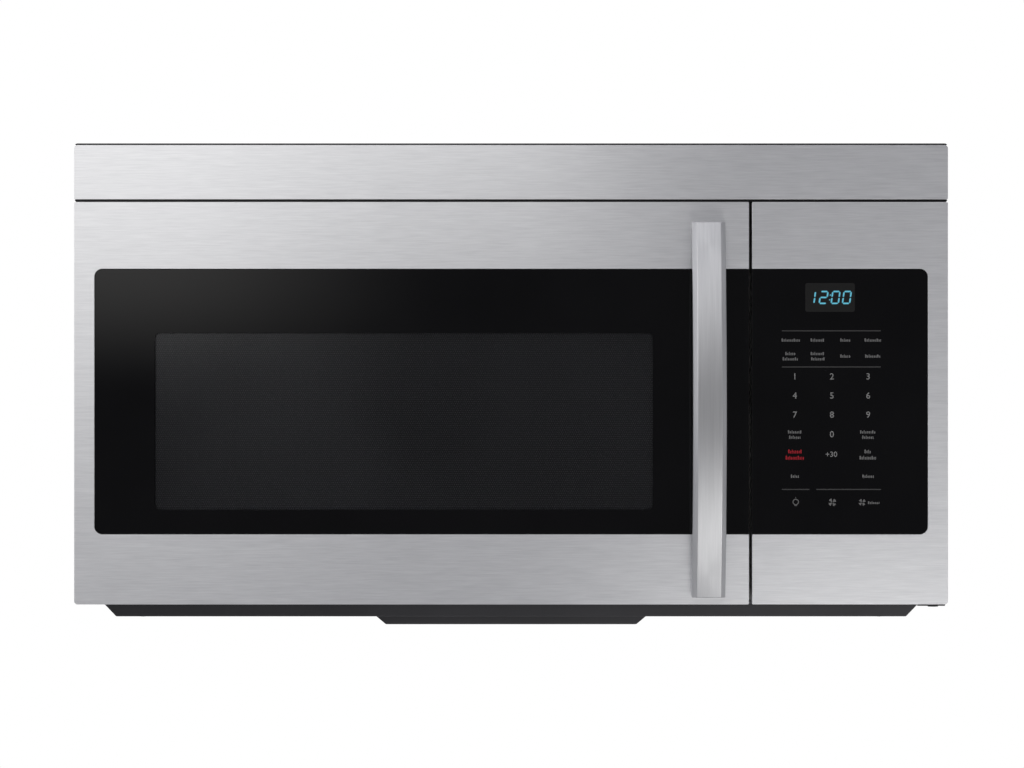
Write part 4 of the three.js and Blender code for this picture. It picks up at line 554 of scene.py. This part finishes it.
# Finish of each piece and its edge rounding, in millimetres
eased_pieces = {
    "vent_trim": ("brushed_steel", 0.5),
    "door_frame": ("brushed_steel", 0.7),
    "control_frame": ("brushed_steel", 0.7),
    "vent_grille": ("black_plastic", 0.6),
    "door_glass": ("door_glass", 0.4),
    "control_glass": ("black_glass", 0.4),
    "handle": ("steel_upright_shaded", 0.6),
    "outer_cabinet": ("black_paint", 0.5),
    "base_plate": ("pan_paint", 0.6),
    "back_plate": ("zinc_steel", 0.4),
    "exhaust_cover": ("zinc_steel", 0.4),
    "cord_gland": ("black_plastic", 0.5),
    "oven_cavity": ("cavity_enamel", 0.35),
    "door_inner_panel": ("black_paint", 0.4),
    "choke_cover": ("black_plastic", 0.5),
    "door_latch": ("white_plastic", 0.4),
    "latch_board": ("white_plastic", 0.4),
    "interlock_switch_lower": ("black_plastic", 0.4),
    "interlock_switch_upper": ("black_plastic", 0.4),
    "hinge_lower": ("zinc_steel", 0.3),
    "hinge_upper": ("zinc_steel", 0.3),
    "handle_screw_lower": ("zinc_steel", 0.4),
    "handle_screw_upper": ("zinc_steel", 0.4),
    "panel_screw": ("black_paint", 0.4),
    "drive_coupler": ("white_plastic", 0.4),
    "roller_ring": ("white_plastic", 0.5),
    "roller_wheel_1": ("white_plastic", 0.5),
    "roller_wheel_2": ("white_plastic", 0.5),
    "roller_wheel_3": ("white_plastic", 0.5),
    "glass_tray": ("tray_glass", 0.6),
    "turntable_motor": ("zinc_steel", 0.5),
    "waveguide": ("zinc_steel", 0.4),
    "magnetron": ("aluminium", 0.4),
    "hv_transformer": ("copper", 0.8),
    "hv_capacitor": ("aluminium", 0.6),
    "noise_filter_board": ("circuit_board", 0.3),
    "control_board": ("circuit_board", 0.3),
    "control_housing": ("black_plastic", 0.5),
    "display_module": ("black_plastic", 0.4),
    "fan_shroud": ("black_plastic", 0.5),
    "fan_motor": ("zinc_steel", 0.6),
    "cooling_fan": ("white_plastic", 0.3),
    "blower_housing": ("zinc_steel", 0.4),
    "blower_motor": ("zinc_steel", 0.8),
    "blower_wheels": ("aluminium", 0.2),
    "air_duct": ("zinc_steel", 0.4),
    "cavity_lamp": ("zinc_steel", 0.4),
    "cavity_thermostat": ("white_plastic", 0.3),
    "waveguide_cover": ("mica", 0.2),
    "inner_window": ("clear_glass", 0.3),
    "window_screen": ("screen", 0.1),
    "charcoal_filter": ("charcoal", 1.0),
    "lamp_lens_left": ("frosted_lens", 0.3),
    "lamp_lens_right": ("frosted_lens", 0.3),
    "cooktop_lamp_left": ("white_plastic", 0.3),
    "cooktop_lamp_right": ("white_plastic", 0.3),
}
for node, (material, width) in eased_pieces.items():
    eased(node, material, width * MM)

# CAD pieces that show as they are
plain_pieces = {
    "latch_spring": "zinc_steel",
    "grease_filter_left": "aluminium",
    "grease_filter_right": "aluminium",
}
for node, material in plain_pieces.items():
    piece = nodes[node]
    if not piece.material_slots:
        piece.data.materials.append(finishes[material])
    for slot in piece.material_slots:
        slot.material = finishes[material]

# ---------------------------------------------------------------- thin black strips of painted shade

# Opposite corners of the strips, in millimetres, and the rounding as a share of the thinnest side
vent_lip_shade = ((-379.2, -386, 150.1), (379.2, -372, 152.4))
panel_foot_shade = ((353, -388, -201.3), (377.3, -380, -199.8))
trim_rounding = 0.25


def trim_strip(name, low, high):
    """Rounded black strip between two corners, in millimetres."""
    work = bmesh.new()
    bmesh.ops.create_cube(work, size=1.0)
    size = Vector(high) - Vector(low)
    middle = (Vector(high) + Vector(low)) / 2
    for vert in work.verts:
        vert.co = (Vector(a * b for a, b in zip(vert.co, size)) + middle) * MM
    bmesh.ops.bevel(
        work, geom=work.edges[:], offset=trim_rounding * min(size) * MM, segments=2, affect="EDGES")
    finish_mesh(built(name, work, "chassis", "black_plastic").data)


# Lip of the vent grille above the door, black like the grille and filling the gap there with painted
# shade, and a black strip under the control panel that paints the shade line beneath it
trim_strip("vent_lip_shade", *vent_lip_shade)
trim_strip("panel_foot_shade", *panel_foot_shade)

# ---------------------------------------------------------------- filter mesh, lens ribs, screws

# Strands inside a filter's rim, and ribs inside a lens's
filter_rim = 7 * MM
strand_pitch = 4.6 * MM
strand_width = 0.9 * MM
strand_thickness = 0.6 * MM
lens_rim = 6 * MM
lens_rib_count = 16
lens_rib_width = 1.6 * MM
lens_rib_rise = 0.5 * MM
pan_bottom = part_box("lamp_lens_left")[0].z

# Screws, in millimetres: places, (radius, height) points of a head, and the black cross in it that paints
# the shade of its recess
side_screw_depths = (-14, -328)
side_screw_heights = (-165, 0, 165)
pan_screw_columns = (-325, 325)
pan_screw_depths = (-318, -28)
screw_profile = ((0, -0.3), (3.4, -0.3), (3.4, 0.3), (2.8, 0.6), (1.6, 0.78), (0, 0.8))
cross_arm = (3.8, 0.7)
cross_middle = 0.68
cross_depth = 0.4


def box_between(work, start, end, width, low, high):
    """Closed bar along a line in the plane z, in metres, added to the mesh being built."""
    along = (Vector(end) - Vector(start)).normalized()
    side = Vector((-along.y, along.x)) * width / 2
    corners = [Vector(start) - side, Vector(end) - side, Vector(end) + side, Vector(start) + side]
    lower = [work.verts.new((c.x, c.y, low)) for c in corners]
    upper = [work.verts.new((c.x, c.y, high)) for c in corners]
    work.faces.new(lower[::-1])
    work.faces.new(upper)
    for i in range(4):
        j = (i + 1) % 4
        work.faces.new((lower[i], lower[j], upper[j], upper[i]))


def filter_mesh(side):
    """Two crossed layers of flat strands in the filter's frame, under a close core, a backing whose dark
    grey is painted shade of the deeper layers.
    """
    low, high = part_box(f"grease_filter_{side}")
    left, right = low.x + filter_rim, high.x - filter_rim
    front, back = low.y + filter_rim, high.y - filter_rim
    width = right - left
    depth = back - front
    middle = (low.z + high.z) / 2
    work = bmesh.new()
    for mirrored, base in ((False, middle - strand_thickness), (True, middle)):
        offset = strand_pitch / 2
        while offset < width + depth:
            start = (left + max(0, offset - depth), front + min(offset, depth))
            end = (left + min(offset, width), front + max(0, offset - width))
            if mirrored:
                start = (start[0], front + back - start[1])
                end = (end[0], front + back - end[1])
            if (Vector(end) - Vector(start)).length > strand_pitch:
                box_between(work, start, end, strand_width, base, base + strand_thickness)
            offset += strand_pitch
    built(f"filter_mesh_{side}", work, f"filter_{side}", "aluminium")
    # The core backs the strands; its dark grey is painted shade.
    work = bmesh.new()
    across = (front + back) / 2
    box_between(
        work, (left, across), (right, across), depth,
        high.z - 2 * strand_thickness, high.z - strand_thickness)
    built(f"filter_shaded_core_{side}", work, f"filter_{side}", "aluminium_painted_shade")


def lens_ribs(side):
    """Fine ribs under a lamp's lens."""
    low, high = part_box(f"lamp_lens_{side}")
    pitch = (high.x - low.x - 2 * lens_rim) / lens_rib_count
    work = bmesh.new()
    for i in range(lens_rib_count):
        x = low.x + lens_rim + pitch * (i + 0.5)
        box_between(
            work, (x, low.y + lens_rim), (x, high.y - lens_rim), lens_rib_width,
            low.z - lens_rib_rise, low.z + lens_rib_rise)
    built(f"lens_ribs_{side}", work, "chassis", "frosted_lens")


def turned(work, profile, place, sides=20):
    """Closed lathe form from (radius, height) points, both ends on its axis, set at a place."""
    rings = []
    for radius, height in profile:
        if radius == 0:
            rings.append([work.verts.new(place @ Vector((0, 0, height)))])
        else:
            rings.append([work.verts.new(place @ Vector((
                radius * math.cos(2 * math.pi * i / sides),
                radius * math.sin(2 * math.pi * i / sides), height))) for i in range(sides)])
    for lower, upper in zip(rings, rings[1:]):
        for i in range(sides):
            j = (i + 1) % sides
            corners = [
                lower[i % len(lower)], lower[j % len(lower)],
                upper[j % len(upper)], upper[i % len(upper)]]
            work.faces.new(list(dict.fromkeys(corners)))


def screw_places():
    """Each screw's side of the oven and the middle of its head."""
    low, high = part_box("outer_cabinet")
    places = []
    for y in side_screw_depths:
        for z in side_screw_heights:
            places.append(("left", (low.x, y * MM, z * MM)))
            places.append(("right", (high.x, y * MM, z * MM)))
    for x in pan_screw_columns:
        for y in pan_screw_depths:
            places.append(("down", (x * MM, y * MM, pan_bottom)))
    for x, z in back_screws:
        places.append(("back", (x * MM, -pocket_depth, z * MM)))
    return places


def screws():
    """Heads of the cabinet's and the pan's screws, each with a black cross that paints the shade in its
    cross recess.
    """
    facing = {
        "left": Matrix.Rotation(math.radians(-90), 4, "Y"),
        "right": Matrix.Rotation(math.radians(90), 4, "Y"),
        "down": Matrix.Rotation(math.radians(180), 4, "X"),
        "back": Matrix.Rotation(math.radians(-90), 4, "X")}
    profile = [(radius * MM, height * MM) for radius, height in screw_profile]
    heads = bmesh.new()
    recess_shades = bmesh.new()
    for side, middle in screw_places():
        place = Matrix.Translation(middle) @ facing[side]
        turned(heads, profile, place)
        for length, width in (cross_arm, cross_arm[::-1]):
            made = bmesh.ops.create_cube(recess_shades, size=1.0)
            for vert in made["verts"]:
                vert.co = place @ Vector((
                    vert.co.x * length * MM, vert.co.y * width * MM,
                    (cross_middle + vert.co.z * cross_depth) * MM))
    bmesh.ops.recalc_face_normals(heads, faces=heads.faces)
    finish_mesh(built("cabinet_screw_heads", heads, "chassis", "zinc_steel").data)
    # The crosses are black boxes set into the heads: painted shade of the recesses.
    built("cabinet_screw_recess_shades", recess_shades, "chassis", "black_plastic")


for side in ("left", "right"):
    filter_mesh(side)
    lens_ribs(side)
screws()

# ---------------------------------------------------------------- prints on the control glass

glass_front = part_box("control_glass")[0].y
ink_root = 0.05 * MM          # how far a print reaches into the glass
ink_rise = 0.05 * MM          # how far it stands before the glass

# Widths of the blocks in millimetres, and their heights as shares of the row's
block_widths = (1.25, 1.0, 0.7, 1.1, 0.9, 1.2, 0.75)
block_heights = (0.7, 0.72, 0.95, 0.68, 0.74)
block_gap = 0.5

# Keypad, in millimetres from the middle of the face
key_columns = (246.5, 278.7, 310.2)
label_columns = (242.7, 266.4, 290.7, 314.3)
upper_labels = (15.5, 12.5, 9.5, 14.5)
upper_label_row = 29.7
lower_labels = ((9, 13.5), (12.5, 11.5), (9.5,), (13.5,))
lower_label_rows = {1: 15.8, 2: 15.7}         # with one line and with two
digit_rows = (-2.2, -18.8, -35.4, -52.4)
start_row = -69.8
single_label_row = -88.6
icon_row = -111.6
dividers = ((278.2, 37.7, 86), (278.2, 6.3, 86), (247.2, -100.1, 24.2), (293.2, -100.1, 56.5))
divider_height = 0.9
digit_height = 5.6
long_text_share = 0.85        # height of a text of several digits
plus_shift = 0.5
em_share = 1.38               # type size for a digit's height
stroke_growth = 0.06 * MM


def print_on_glass(name, outlines, material, rise=ink_rise):
    """Flat closed pieces on the glass, one for each outline of (x, z) points in metres."""
    work = bmesh.new()
    for outline in outlines:
        add_prism(work, outline, glass_front - rise, glass_front + ink_root)
    bmesh.ops.recalc_face_normals(work, faces=work.faces)
    built(name, work, "chassis", material)


def blocks(x, z, width, height):
    """Row of small upright blocks in place of a word, about a middle point. The first is the tallest."""
    row = []
    left = x - width / 2
    index = 0
    while left < x + width / 2 - block_widths[index % len(block_widths)] / 2:
        size = block_widths[index % len(block_widths)]
        tall = height * (block_heights[index % len(block_heights)] if index else 1.0)
        row.append(bar(left + size / 2, z - (height - tall) / 2, size, tall, corners=2))
        left += size + block_gap
        index += 1
    return row


def label(x, z, widths, line=4.6, height=3.1):
    """Rows of blocks one below the other about a middle point, a line's height apart."""
    rows = []
    top = z + line / 2 * (len(widths) - 1)
    for index, width in enumerate(widths):
        rows += blocks(x, top - line * index, width, height)
    return rows


def numbers():
    """The ten digits of the keypad, and the 30 of the key that adds half a minute."""
    texts = [(str(row * 3 + column + 1), key_columns[column], digit_rows[row])
             for row in range(3) for column in range(3)]
    texts += [("0", key_columns[1], digit_rows[3]), ("+30", key_columns[1] - plus_shift, start_row)]
    work = bmesh.new()
    for text, x, z in texts:
        curve = bpy.data.curves.new("digit", "FONT")
        curve.body = text
        curve.align_x = "CENTER"
        curve.align_y = "CENTER"
        height = digit_height * (1 if len(text) == 1 else long_text_share)
        curve.size = height * em_share * MM
        curve.extrude = (ink_rise + ink_root) / 2
        curve.offset = stroke_growth
        curve.resolution_u = 3
        made = bpy.data.objects.new("digit", curve)
        bpy.context.scene.collection.objects.link(made)
        mesh = bpy.data.meshes.new_from_object(made)
        mesh.transform(
            Matrix.Translation((x * MM, glass_front + (ink_root - ink_rise) / 2, z * MM))
            @ Matrix.Rotation(math.radians(90), 4, "X"))
        work.from_mesh(mesh)
        bpy.data.objects.remove(made)
        bpy.data.meshes.remove(mesh)
        bpy.data.curves.remove(curve)
    bmesh.ops.remove_doubles(work, verts=work.verts, dist=1e-7)
    built("keypad_numbers", work, "chassis", "ink")


def lamp_icon(x, z):
    """Bulb: a ring with a short foot and a tip."""
    sides = 18
    inner = 2.0
    outer = 2.7
    lift = 0.6
    ring = []
    for i in range(sides):
        a, b = (2 * math.pi * k / sides for k in (i, i + 1))
        ring.append([
            ((x + r * math.cos(t)) * MM, (z + lift + r * math.sin(t)) * MM)
            for r, t in ((inner, a), (outer, a), (outer, b), (inner, b))])
    return ring + [bar(x, z - 2.5, 2.4, 0.6), bar(x, z + 4.2, 0.6, 1.1)]


def fan_icon(x, z, radius):
    """Four curved blades round a middle."""
    steps = 6
    first = math.radians(12)
    sweep = math.radians(52)
    hub = 0.7
    hub_sweep = 0.9
    blades = []
    for quarter in range(4):
        start = math.radians(90) * quarter + first
        polar = [(radius, start + sweep * step / steps) for step in range(steps + 1)]
        polar += [(hub, start + hub_sweep), (hub, start)]
        blades.append([((x + r * math.cos(t)) * MM, (z + r * math.sin(t)) * MM) for r, t in polar])
    return blades


def keypad():
    """Dividers, rows of blocks in place of words, icons and numbers."""
    print_on_glass(
        "keypad_dividers", [bar(x, z, width, divider_height) for x, z, width in dividers], "ink_faint")
    left, middle, right = key_columns
    words = []
    for x, width in zip(label_columns, upper_labels):
        words += label(x, upper_label_row, (width,))
    for x, widths in zip(label_columns, lower_labels):
        words += label(x, lower_label_rows[len(widths)], widths)
    words += label(left, digit_rows[3], (12, 10))
    words += label(right, digit_rows[3], (14, 10.5))
    words += label(right, start_row, (6.5, 15), line=5.4, height=3.5)
    words += label(left, single_label_row, (7,))
    words += label(right, single_label_row, (10,))
    words += label(right + 4.8, icon_row, (10,), height=2.6)
    print_on_glass("keypad_labels", words, "ink_label")
    stop = label(left, start_row, (11.5, 16), line=5.4, height=3.7)
    print_on_glass("keypad_stop_label", stop, "ink_red")
    icons = lamp_icon(left + 0.8, icon_row)
    icons += fan_icon(middle + 0.4, icon_row + 0.3, radius=3.4)
    icons += fan_icon(right - 5.2, icon_row + 0.3, radius=3.0)
    print_on_glass("keypad_icons", icons, "ink_label")
    numbers()


# Seven segments of a digit as (x, z) ends, in shares of its width and height
segments = {
    "top": ((0, 1), (1, 1)), "middle": ((0, 0.5), (1, 0.5)), "bottom": ((0, 0), (1, 0)),
    "upper_left": ((0, 0.5), (0, 1)), "upper_right": ((1, 0.5), (1, 1)),
    "lower_left": ((0, 0), (0, 0.5)), "lower_right": ((1, 0), (1, 0.5)),
}
lit_segments = {
    "1": ("upper_right", "lower_right"),
    "2": ("top", "upper_right", "middle", "lower_left", "bottom"),
    "0": ("top", "upper_left", "upper_right", "lower_left", "lower_right", "bottom"),
}

# Display, in millimetres but for the two rises
display_x = 277.1
display_z = 66.7
display_width = 43
display_height = 25
display_radius = 1.6
display_rise = 0.03 * MM
segment_rise = 0.06 * MM
clock_digits = (("1", 257.6), ("2", 268.4), ("0", 278.8), ("0", 288.6))       # with their left sides
segment_length = 6.2
clock_height = 10.3
segment_width = 1.35
segment_gap = 0.25            # at each end of a segment
clock_slant = 0.14
colon_heights = (0.3, 0.7)
colon_half = 0.5


def clock():
    """Noon on a slanted four-digit display behind its own tinted window."""
    window = bar(display_x, display_z, display_width, display_height, radius=display_radius)
    print_on_glass("display_window", [window], "display_tint", display_rise)
    shapes = []

    def leant(x, z):
        lean = clock_slant * (z - clock_height / 2)
        return ((x + lean) * MM, (display_z - clock_height / 2 + z) * MM)

    for digit, left in clock_digits:
        for name in lit_segments[digit]:
            (u0, v0), (u1, v1) = segments[name]
            a = Vector((left + u0 * segment_length, v0 * clock_height))
            b = Vector((left + u1 * segment_length, v1 * clock_height))
            along = (b - a).normalized()
            side = Vector((-along.y, along.x)) * segment_width / 2
            a, b = a + along * segment_gap, b - along * segment_gap
            tip = along * segment_width / 2
            shapes.append([leant(*point) for point in (
                a, a + tip - side, b - tip - side, b, b - tip + side, a + tip + side)])
    for share in colon_heights:
        shapes.append([
            leant(display_x + dx * colon_half, clock_height * share + dz * colon_half)
            for dx, dz in ((-1, -1), (1, -1), (1, 1), (-1, 1))])
    print_on_glass("display_time", shapes, "display_lit", segment_rise)


keypad()
clock()

# ---------------------------------------------------------------- floor, world and lamps

# Floor: below the object, its side, and what the camera sees of it
floor_drop = 0.6
floor_size = 10.0
floor_level = 0.7
floor_glow = 0.97
floor_glow_share = 0.92

# Room as mirrors show it: straight before the object and all round it, and where it rises
room_low = 0.175
room_high = 1.0
front_edge = (-0.93, -0.2)    # along Y
upright_edge = (0.1, 0.65)    # away from level, up or down
right_edge = (0.3, 0.9)       # along X
right_share = 0.45
diffuse_share = 0.75          # for all but mirrors and clear pieces
room_colour = (0.968, 0.962, 1.0, 1.0)
lamp_colour = (1.0, 0.985, 0.958)


def floor_finish():
    """Pale floor that is nearly white to the camera and clear from below."""
    g = Graph("floor", 0.8)
    g.set(Base_Color=g.mix(g.noise(1.5, 2.0), grey(floor_level), grey(floor_level * 1.03)))
    g.set(Specular_IOR_Level=0.1)
    path = g.node("ShaderNodeLightPath")
    seen = g.math("MAXIMUM", path.outputs["Is Camera Ray"], path.outputs["Is Transmission Ray"])
    white = g.node("ShaderNodeEmission", {"Color": (1, 1, 1, 1), "Strength": floor_glow})
    output = g.tree.nodes["Material Output"]
    blend = g.node("ShaderNodeMixShader", {0: g.math("MULTIPLY", seen, floor_glow_share)})
    g.tree.links.new(g.shader.outputs[0], blend.inputs[1])
    g.tree.links.new(white.outputs[0], blend.inputs[2])
    below = g.tree.nodes.new("ShaderNodeNewGeometry").outputs["Backfacing"]
    clear = g.node("ShaderNodeBsdfTransparent", {})
    sided = g.node("ShaderNodeMixShader", {0: below})
    g.tree.links.new(blend.outputs[0], sided.inputs[1])
    g.tree.links.new(clear.outputs[0], sided.inputs[2])
    g.tree.links.new(sided.outputs[0], output.inputs["Surface"])
    return g.material


def studio_floor():
    """Wide square below the object."""
    mesh = bpy.data.meshes.new("floor")
    half = floor_size / 2
    low = cad_low.z - floor_drop
    mesh.from_pydata(
        [(-half, -half, low), (half, -half, low), (half, half, low), (-half, half, low)],
        [], [(0, 1, 2, 3)])
    floor = bpy.data.objects.new("floor", mesh)
    bpy.context.scene.collection.objects.link(floor)
    mesh.materials.append(floor_finish())


def studio_world():
    """White where the camera looks. The room is dim straight before the object and light all round."""
    world = bpy.data.worlds.new("studio")
    bpy.context.scene.world = world
    world.use_nodes = True
    tree = world.node_tree

    def node(kind, inputs, **settings):
        made = tree.nodes.new(kind)
        for key, value in settings.items():
            setattr(made, key, value)
        for key, value in inputs.items():
            if isinstance(value, bpy.types.NodeSocket):
                tree.links.new(value, made.inputs[key])
            else:
                made.inputs[key].default_value = value
        return made.outputs[0]

    def rise(value, start, end):
        return node("ShaderNodeMapRange", {
            "Value": value, "From Min": start, "From Max": end}, interpolation_type="SMOOTHSTEP")

    direction = tree.nodes.new("ShaderNodeTexCoord").outputs["Generated"]
    axes = tree.nodes.new("ShaderNodeSeparateXYZ")
    tree.links.new(direction, axes.inputs[0])
    path = tree.nodes.new("ShaderNodeLightPath").outputs
    upright = node("ShaderNodeMath", {0: axes.outputs["Z"]}, operation="ABSOLUTE")
    room = node("ShaderNodeMath", {
        0: rise(axes.outputs["Y"], *front_edge),
        1: rise(upright, *upright_edge)}, operation="MAXIMUM")
    right = node("ShaderNodeMapRange", {
        "Value": axes.outputs["X"], "From Min": right_edge[0], "From Max": right_edge[1],
        "To Min": 1.0, "To Max": right_share})
    room = node("ShaderNodeMath", {0: room, 1: right}, operation="MULTIPLY")
    room = node("ShaderNodeMapRange", {"Value": room, "To Min": room_low, "To Max": room_high})
    shiny = node("ShaderNodeMath", {
        0: path["Is Glossy Ray"], 1: path["Is Transmission Ray"]}, operation="MAXIMUM")
    level = node("ShaderNodeMapRange", {"Value": shiny, "To Min": diffuse_share, "To Max": 1.0})
    level = node("ShaderNodeMath", {0: room, 1: level}, operation="MULTIPLY")
    level = node("ShaderNodeMath", {0: level, 1: path["Is Camera Ray"]}, operation="MAXIMUM")
    background = tree.nodes["Background"]
    tint = tree.nodes.new("ShaderNodeMix")
    tint.data_type = "RGBA"
    colour_inputs = [socket for socket in tint.inputs if socket.type == "RGBA"]
    colour_inputs[0].default_value = room_colour
    colour_inputs[1].default_value = (1, 1, 1, 1)
    tree.links.new(path["Is Camera Ray"], tint.inputs[0])
    tree.links.new([o for o in tint.outputs if o.type == "RGBA"][0], background.inputs["Color"])
    tree.links.new(level, background.inputs["Strength"])


def lamp(name, middle, width, height, power, across, upward):
    """Soft box that faces the object. It fades out between two shares of its width and of its height."""
    light = bpy.data.lights.new(name, "AREA")
    light.shape = "RECTANGLE"
    light.size = width
    light.size_y = height
    light.energy = power
    light.color = lamp_colour
    light.use_nodes = True
    tree = light.node_tree
    spot = tree.nodes.new("ShaderNodeNewGeometry").outputs["Parametric"]
    axes = tree.nodes.new("ShaderNodeSeparateXYZ")
    tree.links.new(spot, axes.inputs[0])
    fades = []
    for axis, (start, end) in (("X", across), ("Y", upward)):
        fade = tree.nodes.new("ShaderNodeMapRange")
        fade.interpolation_type = "SMOOTHSTEP"
        tree.links.new(axes.outputs[axis], fade.inputs["Value"])
        fade.inputs["From Min"].default_value = start
        fade.inputs["From Max"].default_value = end
        fades.append(fade.outputs["Result"])
    product = tree.nodes.new("ShaderNodeMath")
    product.operation = "MULTIPLY"
    for index, fade in enumerate(fades):
        tree.links.new(fade, product.inputs[index])
    tree.links.new(product.outputs[0], tree.nodes["Emission"].inputs["Strength"])
    box = bpy.data.objects.new(name, light)
    box.location = middle
    box.rotation_euler = (math.radians(90), 0, 0)
    box.visible_camera = False
    bpy.context.scene.collection.objects.link(box)


studio_floor()
studio_world()
lamp(
    "upper", (-0.66, -1.2, 0.44), width=1.72, height=0.48, power=3.4,
    across=(1.0, 0.88), upward=(0.0, 0.25))
lamp(
    "left", (-0.77, -1.2, 0.14), width=1.42, height=0.32, power=1.95,
    across=(1.0, 0.76), upward=(0.0, 0.45))
lamp(
    "lower", (0.64, -1.2, -0.49), width=1.32, height=0.62, power=6.4,
    across=(0.0, 0.27), upward=(1.0, 0.2))
